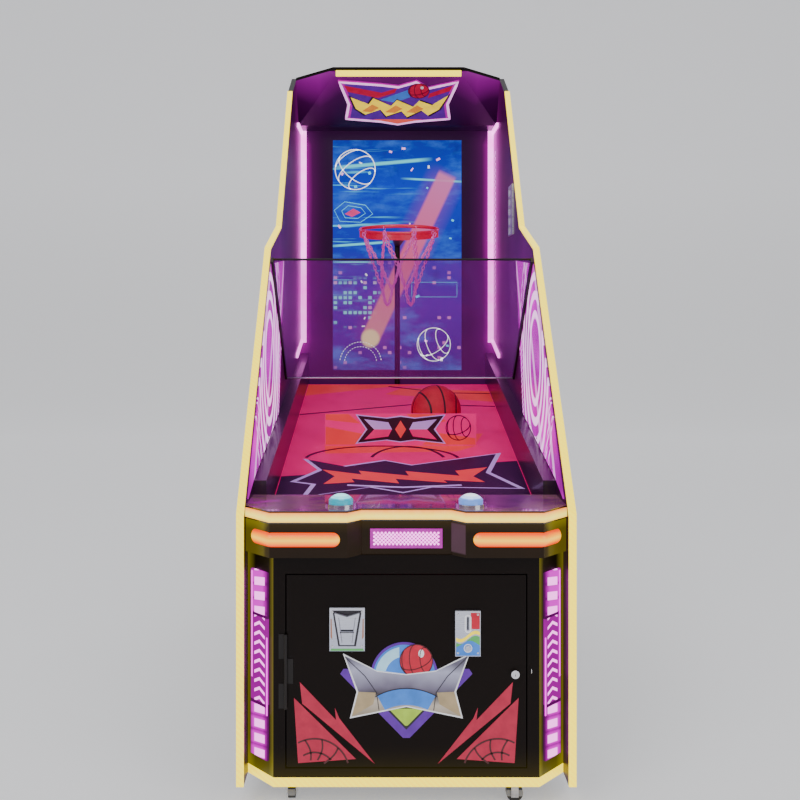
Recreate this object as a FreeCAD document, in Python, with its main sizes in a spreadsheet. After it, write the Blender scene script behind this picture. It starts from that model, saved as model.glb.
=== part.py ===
import FreeCAD, Part
import os
import Sketcher

# Arcade basketball machine, in millimetres.
# X runs to the player's right, Y away from the player and Z up.
# Sizes along the depth are measured from the cabinet's front face. The whole
# machine is then moved so that the origin is under the middle of its footprint.

SIZES = [
    # overall shell
    ("half_width", 412), ("board", 18), ("depth", 1650), ("lip", 40), ("top_z", 2120),
    ("base_z", 60), ("base_thick", 23), ("roof_thick", 12),
    # side outline
    ("front_edge_y", 5), ("deck_edge_z", 715), ("shoulder_y", 533), ("shoulder_z", 1400),
    ("neck_y", 815), ("neck_z", 1491), ("brow_y", 1177), ("brow_z", 2027), ("crown_y", 1330),
    ("edge_light", 6),
    # lower cabinet
    ("corner", 72), ("face_half", "=half_width - board - corner"), ("face_thick", 18), ("face_top_z", 622),
    ("base_light", 8), ("column_light", 4), ("column_inset", 12), ("column_light_wide", 46),
    ("column_light_z", 118), ("column_light_top", 575),
    # service door
    ("door_half", 290), ("door_z", 108), ("door_top", 573), ("door_gap", 3),
    ("hinge_radius", 4), ("hinge_pin", 2), ("hinge_offset", 4), ("knuckle", 60), ("leaf", 1.5),
    ("leaf_wide", 16), ("hinge_fit", 0.05),
    ("lock_inset", 27), ("lock_x", "=door_half - lock_inset"), ("lock_z", 335),
    ("lock_radius", 10), ("lock_core", 7), ("lock_fit", 0.05),
    ("lock_proud", 9), ("hasp_radius", 6), ("hasp_rod", 1.2), ("hasp_out", 9), ("hasp_sink", 2),
    ("hasp_above", 7), ("cam_long", 44), ("cam_wide", 14), ("cam_thick", 3),
    ("card_x", -143), ("card_z", 391), ("card_wide", 85), ("card_high", 104), ("card_thick", 6),
    ("card_slot_wide", 30), ("card_slot_high", 5), ("card_slot_z", 50), ("card_edge", 8),
    ("shield_thick", 9), ("shield_low", 18), ("shield_drop", 10), ("shield_half", 30),
    ("shield_foot", 17), ("shield_notch", 9),
    ("coin_x", 148.5), ("coin_z", 379), ("coin_wide", 61), ("coin_high", 109), ("coin_thick", 8),
    ("coin_slot_wide", 4), ("coin_slot_high", 32), ("coin_slot_drop", 14), ("coin_edge", 6),
    ("coin_button", 7), ("coin_button_z", 20), ("coin_button_proud", 4), ("button_fit", 0.05),
    # apron and deck
    ("apron_top", 704), ("apron_front", 30), ("apron_half", 328), ("apron_thick", 12),
    ("recess_half", 108), ("recess_run", 34), ("recess_y", 3), ("apron_floor", 6),
    ("tube_radius", 22), ("tube_z", 665.5), ("tube_inner_x", 177), ("tube_bury", 14),
    ("tube_wrap", 34), ("tube_fit", 0.4),
    ("grille_wide", 175), ("grille_high", 47), ("grille_z", 638), ("grille_thick", 3),
    ("grille_hole", 2.6), ("grille_pitch", 9),
    ("deck_top", 735), ("deck_rear", 165), ("deck_light_z", 709), ("deck_light_high", 21),
    ("deck_light", 8),
    ("button_x", 160), ("button_y", 39), ("button_radius", 30), ("bezel_radius", 39),
    ("bezel_wall", 3), ("bezel_high", 6), ("button_proud", 8), ("button_dome", 14),
    # playfield
    ("ramp_front_y", 165), ("ramp_front_z", 660), ("ramp_rear_y", 1470), ("ramp_rise", 263),
    ("ramp_thick", 14), ("mat_thick", 4), ("rail_thick", 34),
    ("mat_half", "=half_width - board - rail_thick"), ("rail_high", 112),
    ("gate_y", 758), ("gate_thick", 6), ("gate_half", 246), ("gate_above", 102), ("gate_below", 60),
    ("gate_slot", 3), ("gate_drop", 100), ("channel_lap", 12), ("channel_end", 10),
    ("channel_low", 10), ("channel_stop", 2), ("channel_fit", 1),
    ("ball_radius", 84), ("ball_x", 120), ("touch_gap", 0.3),
    # guard
    ("guard_top_y", 512), ("guard_top_z", 1365), ("guard_low_y", 900), ("guard_low_z", 988),
    ("guard_run", 4.2), ("guard_half", 384), ("guard_clip", 5), ("window", 3),
    ("window_front", 105), ("window_foot", 10), ("window_rail", 6), ("window_rear", 99),
    ("window_back_y", 52), ("window_back_z", 106), ("window_top_y", 13), ("window_top_z", 45),
    # back wall
    ("wall_y", 1526), ("screen_half", 263.5), ("screen_z", 977), ("screen_top", 1919),
    ("screen_deep", 60), ("screen_glass", 12), ("screen_wall", 5), ("wall_z", 850),
    ("strip_wide", 22), ("strip_thick", 8), ("strip_above", 55),
    ("strip_z", "=ramp_front_z + ramp_rise + rail_high + strip_above"), ("strip_top", 1956),
    ("arm_top_y", 1360), ("arm_low_y", 1314), ("arm_drop", 54), ("arm_wide", 16),
    ("louvre_y", 940), ("louvre_long", 92), ("louvre_z", 1482), ("louvre_high", 175),
    ("louvre_thick", 6), ("louvre_edge", 6), ("louvre_slat", 10), ("louvre_back", 2),
    # header
    ("header_half", 242), ("header_y", 1162), ("header_low_y", 1420), ("header_low_z", 1957),
    ("header_wall", 10), ("hood_front", 40), ("hood_roof", 2), ("hood_rear", 6), ("hood_lift", 3),
    ("hood_side", 12), ("header_bar", 12), ("header_bar_high", 20), ("header_bar_half", 232),
    ("sign_half", 226), ("sign_thick", 10),
    # hoop
    ("ring_y", 1060), ("ring_z", 1508), ("ring_radius", 138), ("ring_rod", 6), ("band_high", 32),
    ("band_thick", 6), ("post_y", 1490), ("post_radius", 11), ("net_high", 270), ("net_low", 74),
    ("net_thick", 3), ("arm_high", 18), ("arm_near", 44),
    ("guide_radius", 6), ("guide_fit", 0.05), ("guide_z", 785), ("guide_pitch", 50),
    ("carriage_half", 30), ("carriage_deep", 44), ("carriage_margin", 20),
    # running gear and inside
    ("caster_x", 283), ("caster_y", 55), ("caster_rear_y", 1560), ("wheel_radius", 21),
    ("wheel_wide", 18), ("wheel_offset", 14), ("axle", 4), ("axle_fit", 0.05), ("fork_wall", 3),
    ("fork_gap", 1), ("fork_half", 9), ("crown_gap", 3), ("crown", 4), ("crown_front", 11), ("stem", 6),
    ("stem_gap", 0.5), ("caster_plate", 4), ("caster_plate_half", 26),
    ("cash_wide", 180), ("cash_deep", 260), ("cash_high", 150), ("cash_y", 60), ("cash_wall", 3),
    ("inlet_x", 250), ("inlet_z", 180), ("inlet_wide", 60), ("inlet_high", 34),
    ("inlet_deep", 20), ("inlet_socket", 16), ("inlet_side", 8), ("inlet_edge", 6),
]

doc = FreeCAD.newDocument("BasketballMachine")
sheet = doc.addObject("Spreadsheet::Sheet", "Sizes")
for row, (alias, value) in enumerate(SIZES, start=1):
    sheet.set("A%d" % row, alias)
    sheet.set("B%d" % row, str(value))
    sheet.setAlias("B%d" % row, alias)
doc.recompute()

NODES = []
ALIASES = sorted((alias for alias, _ in SIZES), key=len, reverse=True)
AXES = ("x", "y", "z")


def cells(words):
    """An expression on the sheet, from one written with plain aliases."""
    parts, word = [], ""
    for letter in str(words) + " ":
        if letter.isalnum() or letter in "_.":
            word += letter
            continue
        parts.append("Sizes." + word if word in ALIASES else word)
        parts.append(letter)
        word = ""
    return "".join(parts).strip()


def size(words):
    """The number that an expression on the sheet gives."""
    value = sheet.evalExpression(cells(words))
    return float(getattr(value, "Value", value))


INNER = "(half_width - board)"
MID = "((depth - lip) / 2)"
BASE_TOP = "(base_z + base_thick)"
REAR = "(depth - board)"
ROOF_LOW = "(top_z - roof_thick)"
SLOPE = "(ramp_rise / (ramp_rear_y - ramp_front_y))"
FLAT = FreeCAD.Rotation()
ALONG_Y = FreeCAD.Rotation(FreeCAD.Vector(0, 0, 1), FreeCAD.Vector(0, 1, 0))
ALONG_X = FreeCAD.Rotation(FreeCAD.Vector(0, 0, 1), FreeCAD.Vector(1, 0, 0))


def mat_z(y):
    """Height of the playing surface at a distance behind the front face."""
    return "(ramp_front_z + (%s - ramp_front_y) * %s)" % (y, SLOPE)


def node(thing, name):
    thing.Label = name
    NODES.append(thing)
    return thing


def place(thing, x, y, z, turn=FLAT):
    """Puts a primitive at (x, y, z), with y measured from the front face."""
    thing.Placement = FreeCAD.Placement(FreeCAD.Vector(0, 0, 0), turn)
    for axis, words in zip(AXES, (x, "%s - %s" % (y, MID), z)):
        thing.setExpression("Placement.Base." + axis, cells(words))
    return thing


def box(name, low, high):
    thing = doc.addObject("Part::Box", name)
    for side, a, b in zip(("Length", "Width", "Height"), low, high):
        thing.setExpression(side, cells("(%s) - (%s)" % (b, a)))
    return place(thing, *low)


def rod(name, radius, length, base, turn=FLAT):
    thing = doc.addObject("Part::Cylinder", name)
    thing.setExpression("Radius", cells(radius))
    thing.setExpression("Height", cells(length))
    return place(thing, *base, turn)


def ball_shape(name, radius, centre):
    thing = doc.addObject("Part::Sphere", name)
    thing.setExpression("Radius", cells(radius))
    return place(thing, *centre)


def cut(name, base, *tools):
    """The base with each tool taken away."""
    for n, tool in enumerate(tools):
        thing = doc.addObject("Part::Cut", "%s_cut%d" % (name, n))
        thing.Base = base
        thing.Tool = tool
        base = thing
    return base


def fuse(name, *pieces):
    thing = doc.addObject("Part::MultiFuse", name)
    thing.Shapes = list(pieces)
    return thing


def group(name, *pieces):
    """Separate solids kept together in one node."""
    thing = doc.addObject("Part::Compound", name)
    thing.Links = list(pieces)
    return thing


def sketch_on(body, role, offset):
    """A sketch on one of the body's own origin planes, moved along its normal."""
    doc.recompute()
    plane = [f for f in body.Origin.OriginFeatures if f.Role == role][0]
    sketch = body.newObject("Sketcher::SketchObject", body.Name + "_sketch")
    sketch.AttachmentSupport = [(plane, "")]
    sketch.MapMode = "FlatFace"
    sketch.setExpression("AttachmentOffset.Base.z", cells(offset))
    return sketch


def outline(sketch, points):
    """A closed outline whose corners are bound to the sheet."""
    corners = [FreeCAD.Vector(size(a), size(b), 0) for a, b in points]
    for n, corner in enumerate(corners):
        after = (n + 1) % len(corners)
        sketch.addGeometry(Part.LineSegment(corner, corners[after]), False)
    for n in range(len(corners)):
        sketch.addConstraint(Sketcher.Constraint("Coincident", n, 2, (n + 1) % len(corners), 1))
    for n, (words, corner) in enumerate(zip(points, corners)):
        for kind, word, value in (("DistanceX", words[0], corner.x), ("DistanceY", words[1], corner.y)):
            row = sketch.addConstraint(Sketcher.Constraint(kind, -1, 1, n, 1, value))
            sketch.setExpression("Constraints[%d]" % row, cells(word))


def padded(name, role, points, offset, length):
    body = doc.addObject("PartDesign::Body", name)
    outline(sketch_on(body, role, offset), points)
    pad = body.newObject("PartDesign::Pad", name + "_pad")
    pad.Profile = body.Group[0]
    pad.setExpression("Length", cells(length))
    body.Tip = pad
    return place(body, "0", "0", "0")


def side_prism(name, points, low, high):
    """An outline in depth and height, carried across the width from low to high."""
    return padded(name, "YZ_Plane", points, low, "(%s) - (%s)" % (high, low))


def plan_prism(name, points, low, high):
    """An outline seen from above, carried upwards from low to high."""
    return padded(name, "XY_Plane", points, low, "(%s) - (%s)" % (high, low))


def face_prism(name, points, near, far):
    """An outline seen from the front, carried away from the player."""
    return padded(name, "XZ_Plane", points, "-(%s)" % far, "(%s) - (%s)" % (far, near))


def mirrored(points):
    """A half outline with its mirror image across the middle of the width."""
    return points + [("-(%s)" % x, y) for x, y in reversed(points)]


def shifted(points, across, up):
    return [("(%s) + (%s)" % (a, across), "(%s) + (%s)" % (b, up)) for a, b in points]


def ribbon(points, across, up):
    """A band between a path and the same path moved a little."""
    return points + list(reversed(shifted(points, across, up)))


def both_sides(name, points, low, high):
    """The same side outline on the right and on the left."""
    right = side_prism(name + "_right", points, low, high)
    left = side_prism(name + "_left", points, "-(%s)" % high, "-(%s)" % low)
    return left, right


def base_board():
    points = mirrored([("face_half", "base_light"), (INNER, "corner + base_light"), (INNER, REAR)])
    node(plan_prism("BaseBoard", points, "base_z", BASE_TOP), "base_board")


def base_light():
    path = [("-" + INNER, "corner"), ("-face_half", "0"), ("face_half", "0"), (INNER, "corner")]
    node(plan_prism("BaseLight", ribbon(path, "0", "base_light"), "base_z", BASE_TOP), "base_light")


def side_panels():
    points = [
        ("front_edge_y", "base_z"), ("front_edge_y", "deck_edge_z"), ("shoulder_y", "shoulder_z"),
        ("neck_y", "neck_z"), ("brow_y", "brow_z"), ("crown_y", "top_z"), ("depth", "top_z"),
        ("depth", "base_z"),
    ]
    left, right = both_sides("SidePanel", points, INNER, "half_width")
    node(left, "side_panel_left")
    node(right, "side_panel_right")


def edge_lights():
    path = [
        ("front_edge_y", "deck_edge_z"), ("shoulder_y", "shoulder_z"), ("neck_y", "neck_z"),
        ("brow_y", "brow_z"),
    ]
    band = ribbon([("front_edge_y", "base_z")] + path, "-edge_light", "edge_light")
    band[-1] = ("front_edge_y - edge_light", "base_z")
    node(group("EdgeLights", *both_sides("EdgeLight", band, INNER, "half_width")), "edge_lights")


def front_frame():
    sheet_face = box(
        "FrontSheet", ("-face_half", "0", BASE_TOP), ("face_half", "face_thick", "face_top_z")
    )
    opening = box(
        "DoorOpening",
        ("-door_half - door_gap", "-1", "door_z - door_gap"),
        ("door_half + door_gap", "face_thick + 1", "door_top + door_gap"),
    )
    node(cut("FrontFrame", sheet_face, opening), "front_frame")


def column(name, side):
    points = [
        (side + "face_half", "0"), (side + INNER, "corner"),
        (side + INNER, "corner + face_thick"), (side + "face_half", "face_thick"),
    ]
    return plan_prism(name, points, BASE_TOP, "face_top_z")


def column_light(name, side):
    near = "column_inset"
    far = "column_inset + column_light_wide"
    points = [
        ("%s(face_half + %s)" % (side, near), near),
        ("%s(face_half + %s)" % (side, far), far),
        ("%s(face_half + %s + column_light)" % (side, far), "%s - column_light" % far),
        ("%s(face_half + %s + column_light)" % (side, near), "%s - column_light" % near),
    ]
    return plan_prism(name, points, "column_light_z", "column_light_top")


def columns():
    node(column("ColumnLeft", "-"), "column_left")
    node(column("ColumnRight", "+"), "column_right")
    lights = column_light("ColumnLightLeft", "-"), column_light("ColumnLightRight", "+")
    node(group("ColumnLights", *lights), "column_lights")


def service_door():
    slab = box("DoorSlab", ("-door_half", "0", "door_z"), ("door_half", "face_thick", "door_top"))
    lock_hole = rod(
        "DoorLockHole", "lock_radius", "face_thick + 2", ("lock_x", "-1", "lock_z"), ALONG_Y
    )
    coin_hole = box(
        "DoorCoinHole",
        ("coin_x - coin_wide / 2 + coin_edge", "-1", "coin_z + coin_edge"),
        ("coin_x + coin_wide / 2 - coin_edge", "face_thick + 1", "coin_z + coin_high - coin_edge"),
    )
    card_hole = box(
        "DoorCardHole",
        ("card_x - card_wide / 2 + card_edge", "-1", "card_z + card_edge"),
        ("card_x + card_wide / 2 - card_edge", "face_thick + 1", "card_z + card_high - card_edge"),
    )
    node(cut("ServiceDoor", slab, lock_hole, coin_hole, card_hole), "service_door")


def hinge_axis(z):
    """A point on the door's hinge line."""
    return ("-door_half - door_gap / 2", "-hinge_offset", z)


def hinge():
    """A knuckle hinge on the door's left edge, in three sleeves round one pin."""
    mid = "((door_z + door_top) / 2)"
    low = "%s - 1.5 * knuckle" % mid
    pin = rod("HingePin", "hinge_pin", "3 * knuckle", hinge_axis(low))
    sleeves, leaves = [], []
    for n in range(3):
        bottom = "%s + %d * knuckle" % (low, n)
        room = "hinge_fit" if n == 1 else "0"
        start = "%s + %s" % (bottom, room)
        sleeves.append(
            rod("Knuckle%d" % n, "hinge_radius", "knuckle - 2 * %s" % room, hinge_axis(start))
        )
        side = ("-door_half - door_gap / 2", "-door_half + leaf_wide")
        if n != 1:
            side = ("-door_half - door_gap - leaf_wide", "-door_half - door_gap / 2")
        leaves.append(
            box(
                "HingeLeaf%d" % n,
                (side[0], "-leaf", start),
                (side[1], "0", "%s + knuckle - %s" % (bottom, room)),
            )
        )
    bore = rod("KnuckleBore", "hinge_pin + hinge_fit", "3 * knuckle", hinge_axis(low))
    frame_side = fuse("FrameLeaf", pin, sleeves[0], sleeves[2], leaves[0], leaves[2])
    door_side = cut("DoorLeaf", fuse("DoorLeafSolid", sleeves[1], leaves[1]), bore)
    node(frame_side, "hinge_frame_leaf")
    node(door_side, "hinge_door_leaf")


def lock():
    barrel = rod(
        "LockBarrel", "lock_radius", "face_thick + lock_proud", ("lock_x", "-lock_proud", "lock_z"),
        ALONG_Y,
    )
    bore = rod(
        "LockBore", "lock_core + lock_fit", "face_thick + lock_proud + 2",
        ("lock_x", "-lock_proud - 1", "lock_z"), ALONG_Y,
    )
    node(cut("LockBody", barrel, bore), "lock_body")
    # the cam points upwards, clear of the frame, while the door is unlocked
    core = rod(
        "LockPlug", "lock_core", "face_thick + lock_proud + 1",
        ("lock_x", "-lock_proud", "lock_z"), ALONG_Y,
    )
    keyway = box(
        "Keyway",
        ("lock_x - 0.8", "-lock_proud - 1", "lock_z - 4"),
        ("lock_x + 0.8", "-lock_proud + 5", "lock_z + 4"),
    )
    cam = box(
        "LockCam",
        ("lock_x - cam_wide / 2", "face_thick + 1", "lock_z - cam_wide / 2"),
        ("lock_x + cam_wide / 2", "face_thick + 1 + cam_thick", "lock_z + cam_long"),
    )
    node(fuse("LockCore", cut("LockPlugKeyed", core, keyway), cam), "lock_core")


def hasp_ring():
    ring = doc.addObject("Part::Torus", "HaspTorus")
    ring.setExpression("Radius1", cells("hasp_radius"))
    ring.setExpression("Radius2", cells("hasp_rod"))
    place(ring, "door_half + door_gap + hasp_out", "-hasp_sink", "lock_z + hasp_above", ALONG_X)
    behind = box(
        "HaspBehind",
        ("door_half", "0", "lock_z + hasp_above - 2 * hasp_radius"),
        ("door_half + 4 * hasp_radius", "3 * hasp_radius", "lock_z + hasp_above + 2 * hasp_radius"),
    )
    node(cut("HaspRing", ring, behind), "hasp_ring")


def card_reader():
    plate = box(
        "CardPlate",
        ("card_x - card_wide / 2", "-card_thick", "card_z"),
        ("card_x + card_wide / 2", "0", "card_z + card_high"),
    )
    low = "card_z + shield_low"
    high = "card_z + card_high - shield_drop"
    slot = box(
        "CardSlot",
        ("card_x - card_slot_wide / 2", "-card_thick - shield_thick - 1", "card_z + card_slot_z"),
        ("card_x + card_slot_wide / 2", "1", "card_z + card_slot_z + card_slot_high"),
    )
    slotted = cut("CardPlateSlotted", plate, slot)
    points = [
        ("card_x - shield_foot", low), ("card_x + shield_foot", low), ("card_x + shield_half", high),
        ("card_x", "%s - shield_notch" % high), ("card_x - shield_half", high),
    ]
    shield = face_prism("CardShield", points, "-card_thick - shield_thick", "-card_thick")
    node(fuse("CardReader", slotted, cut("CardShieldSlotted", shield, slot)), "card_reader")


def coin_plate():
    plate = box(
        "CoinPlate",
        ("coin_x - coin_wide / 2", "-coin_thick", "coin_z"),
        ("coin_x + coin_wide / 2", "0", "coin_z + coin_high"),
    )
    slot = box(
        "CoinSlot",
        ("coin_x - coin_slot_wide / 2", "-coin_thick - 1",
         "coin_z + coin_high - coin_slot_drop - coin_slot_high"),
        ("coin_x + coin_slot_wide / 2", "1", "coin_z + coin_high - coin_slot_drop"),
    )
    hole = rod(
        "CoinButtonHole", "coin_button + button_fit", "coin_thick + 2",
        ("coin_x", "-coin_thick - 1", "coin_z + coin_button_z"), ALONG_Y,
    )
    node(cut("CoinPlateSlotted", plate, slot, hole), "coin_plate")
    button = rod(
        "CoinButton", "coin_button", "coin_thick + coin_button_proud + 1",
        ("coin_x", "-coin_thick - coin_button_proud", "coin_z + coin_button_z"), ALONG_Y,
    )
    node(button, "coin_return_button")


def front_path(forward):
    """The folded front line shared by the apron and the deck, set forward of the apron's face."""
    front = "-apron_front - (%s)" % forward
    half = [
        ("recess_half", "recess_y - (%s)" % forward),
        ("recess_half + recess_run", front),
        ("apron_half", front),
        (INNER, "%s + %s - apron_half" % (front, INNER)),
    ]
    return [("-(%s)" % x, y) for x, y in reversed(half)] + half


def tube(name, side, radius):
    """A round-ended lamp that runs along one lobe of the apron and wraps its corner."""
    y = "-apron_front + tube_bury"
    turn_x = "(apron_half - tube_bury * 0.4142)"
    spots = [
        ("%stube_inner_x" % side, y), ("%s%s" % (side, turn_x), y),
        ("%s(%s + tube_wrap)" % (side, turn_x), "%s + tube_wrap" % y),
    ]
    slant = FreeCAD.Vector(1 if side == "+" else -1, 1, 0)
    turns = [FreeCAD.Rotation(FreeCAD.Vector(0, 0, 1), FreeCAD.Vector(slant.x, 0, 0))]
    turns.append(FreeCAD.Rotation(FreeCAD.Vector(0, 0, 1), slant))
    lengths = ["%s - tube_inner_x" % turn_x, "tube_wrap * 1.41421"]
    pieces = [
        ball_shape("%sBall%d" % (name, n), radius, (x, y, "tube_z")) for n, (x, y) in enumerate(spots)
    ]
    for n, (turn, length) in enumerate(zip(turns, lengths)):
        pieces.append(rod("%sRod%d" % (name, n), radius, length, spots[n] + ("tube_z",), turn))
    return fuse(name, *pieces)


def apron():
    path = front_path("0")
    sheet_face = plan_prism(
        "ApronSheet", ribbon(path, "0", "apron_thick"), "face_top_z", "apron_top"
    )
    floor = plan_prism(
        "ApronFloor", path + [(INNER, "corner + face_thick"), ("-" + INNER, "corner + face_thick")],
        "face_top_z", "face_top_z + apron_floor",
    )
    sound_hole = box(
        "SoundHole",
        ("-grille_wide / 2 + 6", "-apron_front", "grille_z + 6"),
        ("grille_wide / 2 - 6", "recess_y + apron_thick + 1", "grille_z + grille_high - 6"),
    )
    room = [tube("TubeRoom" + word, side, "tube_radius + tube_fit")
            for word, side in (("Left", "-"), ("Right", "+"))]
    node(cut("Apron", fuse("ApronSolid", sheet_face, floor), sound_hole, *room), "apron")
    lamps = [tube("TubeLight" + word, side, "tube_radius")
             for word, side in (("Left", "-"), ("Right", "+"))]
    node(group("TubeLights", *lamps), "tube_lights")


def speaker_grille():
    corners = [
        ("-grille_wide / 2", "grille_z"), ("grille_wide / 2", "grille_z"),
        ("grille_wide / 2", "grille_z + grille_high"), ("-grille_wide / 2", "grille_z + grille_high"),
    ]
    body = face_prism("SpeakerGrille", corners, "recess_y - grille_thick", "recess_y")
    doc.recompute()
    full = body.Shape.Volume
    sketch = sketch_on(body, "XZ_Plane", "-recess_y")
    sketch.Label = "GrilleHoles"
    first_x = "-grille_wide / 2 + 10"
    for n in range(4):
        height = "grille_z + grille_high / 2 + (%d - 1.5) * grille_pitch" % n
        centre = FreeCAD.Vector(size(first_x), size(height), 0)
        circle = Part.Circle(centre, FreeCAD.Vector(0, 0, 1), size("grille_hole"))
        sketch.addGeometry(circle, False)
        for kind, words, value in (("DistanceX", first_x, centre.x), ("DistanceY", height, centre.y)):
            row = sketch.addConstraint(Sketcher.Constraint(kind, -1, 1, n, 3, value))
            sketch.setExpression("Constraints[%d]" % row, cells(words))
        row = sketch.addConstraint(Sketcher.Constraint("Radius", n, size("grille_hole")))
        sketch.setExpression("Constraints[%d]" % row, cells("grille_hole"))
    pocket = body.newObject("PartDesign::Pocket", "GrillePocket")
    pocket.Profile = sketch
    pocket.Type = 1
    pocket.Midplane = True
    doc.recompute()
    pattern = body.newObject("PartDesign::LinearPattern", "GrilleRow")
    pattern.Originals = [pocket]
    pattern.Direction = (sketch, ["H_Axis"])
    pattern.setExpression("Length", cells("grille_wide - 20"))
    pattern.Occurrences = 18
    body.Tip = pattern
    doc.recompute()
    if body.Shape.Volume > full - 1:
        raise ValueError("the grille's holes cut nothing")
    node(body, "speaker_grille")


def deck():
    path = front_path("2")
    points = path + [(INNER, "deck_rear"), ("-" + INNER, "deck_rear")]
    board = plan_prism("DeckBoard", points, "apron_top", "deck_top")
    holes = [
        rod("ButtonHole" + word, "button_radius + bezel_wall", "deck_top - apron_top + 2",
            (side + "button_x", "button_y", "apron_top - 1"))
        for word, side in (("Left", "-"), ("Right", "+"))
    ]
    node(cut("Deck", board, *holes), "deck")
    band = ribbon(path, "0", "-deck_light")
    strip = plan_prism("DeckLight", band, "deck_light_z", "deck_light_z + deck_light_high")
    node(strip, "deck_light")


def bezel(word, side):
    spot = (side + "button_x", "button_y")
    flange = rod("BezelFlange" + word, "bezel_radius", "bezel_high", spot + ("deck_top",))
    sleeve = rod(
        "BezelSleeve" + word, "button_radius + bezel_wall", "deck_top - apron_top",
        spot + ("apron_top",),
    )
    bore = rod("BezelBore" + word, "button_radius + button_fit", "200", spot + ("apron_top - 50",))
    return cut("Bezel" + word, fuse("BezelSolid" + word, flange, sleeve), bore)


def button(word, side):
    """A plunger with a domed cap, the dome a cap of a sphere."""
    spot = (side + "button_x", "button_y")
    cap_z = "deck_top + bezel_high + button_proud"
    plunger = rod("Plunger" + word, "button_radius", "%s - apron_top" % cap_z, spot + ("apron_top",))
    dome = "((button_radius ^ 2 + button_dome ^ 2) / (2 * button_dome))"
    sphere = ball_shape("Dome" + word, dome, spot + ("%s + button_dome - %s" % (cap_z, dome),))
    column_above = rod("DomeColumn" + word, "button_radius", "100", spot + (cap_z,))
    cap = doc.addObject("Part::Common", "DomeCap" + word)
    cap.Base = sphere
    cap.Tool = column_above
    return fuse("Button" + word, plunger, cap)


def buttons():
    sides = (("Left", "-"), ("Right", "+"))
    node(group("ButtonBezels", *[bezel(*side) for side in sides]), "button_bezels")
    for word, side in sides:
        node(button(word, side), "button_" + word.lower())


def slope_band(rear, low, high):
    """A band parallel to the playing surface, between two heights above it."""
    return [
        ("ramp_front_y", "%s + (%s)" % (mat_z("ramp_front_y"), low)),
        (rear, "%s + (%s)" % (mat_z(rear), low)),
        (rear, "%s + (%s)" % (mat_z(rear), high)),
        ("ramp_front_y", "%s + (%s)" % (mat_z("ramp_front_y"), high)),
    ]


def gate_room(name):
    return box(
        name,
        ("-gate_half - gate_slot", "gate_y - gate_slot", "ramp_front_z"),
        ("gate_half + gate_slot", "gate_y + gate_thick + gate_slot", "ramp_front_z + ramp_rise"),
    )


def playfield():
    rail_face = "(%s - rail_thick)" % INNER
    board = side_prism(
        "RampBoard", slope_band("ramp_rear_y", "-mat_thick - ramp_thick", "-mat_thick"),
        "-mat_half", "mat_half",
    )
    node(cut("RampBoardSlotted", board, gate_room("RampSlot")), "ramp_board")
    mat = side_prism("PlayMat", slope_band("ramp_rear_y", "-mat_thick", "0"), "-mat_half", "mat_half")
    node(cut("PlayMatSlotted", mat, gate_room("MatSlot")), "play_mat")
    band = slope_band("wall_y", "-mat_thick - ramp_thick", "rail_high")
    node(group("SideRails", *both_sides("SideRail", band, rail_face, INNER)), "side_rails")
    plate = box(
        "GatePlate",
        ("-gate_half", "gate_y", "%s - gate_below" % mat_z("gate_y")),
        ("gate_half", "gate_y + gate_thick", "%s + gate_above" % mat_z("gate_y")),
    )
    node(plate, "ball_gate")


def gate_guides():
    """Two channels under the ramp, in which the gate's ends slide."""
    channels = []
    dropped = "%s - gate_below - gate_drop" % mat_z("gate_y")
    top = "%s - mat_thick - ramp_thick" % mat_z("gate_y - channel_lap")
    for word, side in (("Left", "-"), ("Right", "+")):
        near = "%s(gate_half - channel_lap)" % side
        far = "%s(gate_half + channel_end)" % side
        low_x, high_x = (near, far) if side == "+" else (far, near)
        block = box(
            "GateChannel" + word,
            (low_x, "gate_y - channel_lap", "%s - channel_low" % dropped),
            (high_x, "gate_y + gate_thick + channel_lap", top),
        )
        groove = box(
            "GateGroove" + word,
            ("-gate_half - channel_fit", "gate_y - channel_fit", "%s - channel_stop" % dropped),
            ("gate_half + channel_fit", "gate_y + gate_thick + channel_fit", "%s + 1" % top),
        )
        channels.append(cut("GateGuide" + word, block, groove))
    node(group("GateGuides", *channels), "gate_guides")


def guard_line(near, far):
    """A band along the guard's slant, between two shifts square to it."""
    line = [("guard_top_y", "guard_top_z"), ("guard_low_y", "guard_low_z")]
    return shifted(line, near, near) + list(reversed(shifted(line, far, far)))


def guard():
    sheet_clear = side_prism("Guard", guard_line("0", "guard_run"), "-guard_half", "guard_half")
    node(sheet_clear, "guard")
    clips = both_sides("GuardClip", guard_line("-guard_clip", "guard_run + guard_clip"), "guard_half", INNER + " - window")
    node(group("GuardClips", *clips), "guard_clips")


def side_windows():
    points = [
        ("ramp_front_y - window_front", "deck_top + window_foot"),
        ("ramp_front_y", "%s + rail_high + window_rail" % mat_z("ramp_front_y")),
        ("neck_y - window_rear", "%s + rail_high + window_rail" % mat_z("neck_y - window_rear")),
        ("neck_y + window_back_y", "neck_z - window_back_z"),
        ("shoulder_y - window_top_y", "shoulder_z - window_top_z"),
    ]
    windows = both_sides("SideWindow", points, INNER + " - window", INNER)
    node(group("SideWindows", *windows), "side_windows")


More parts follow.
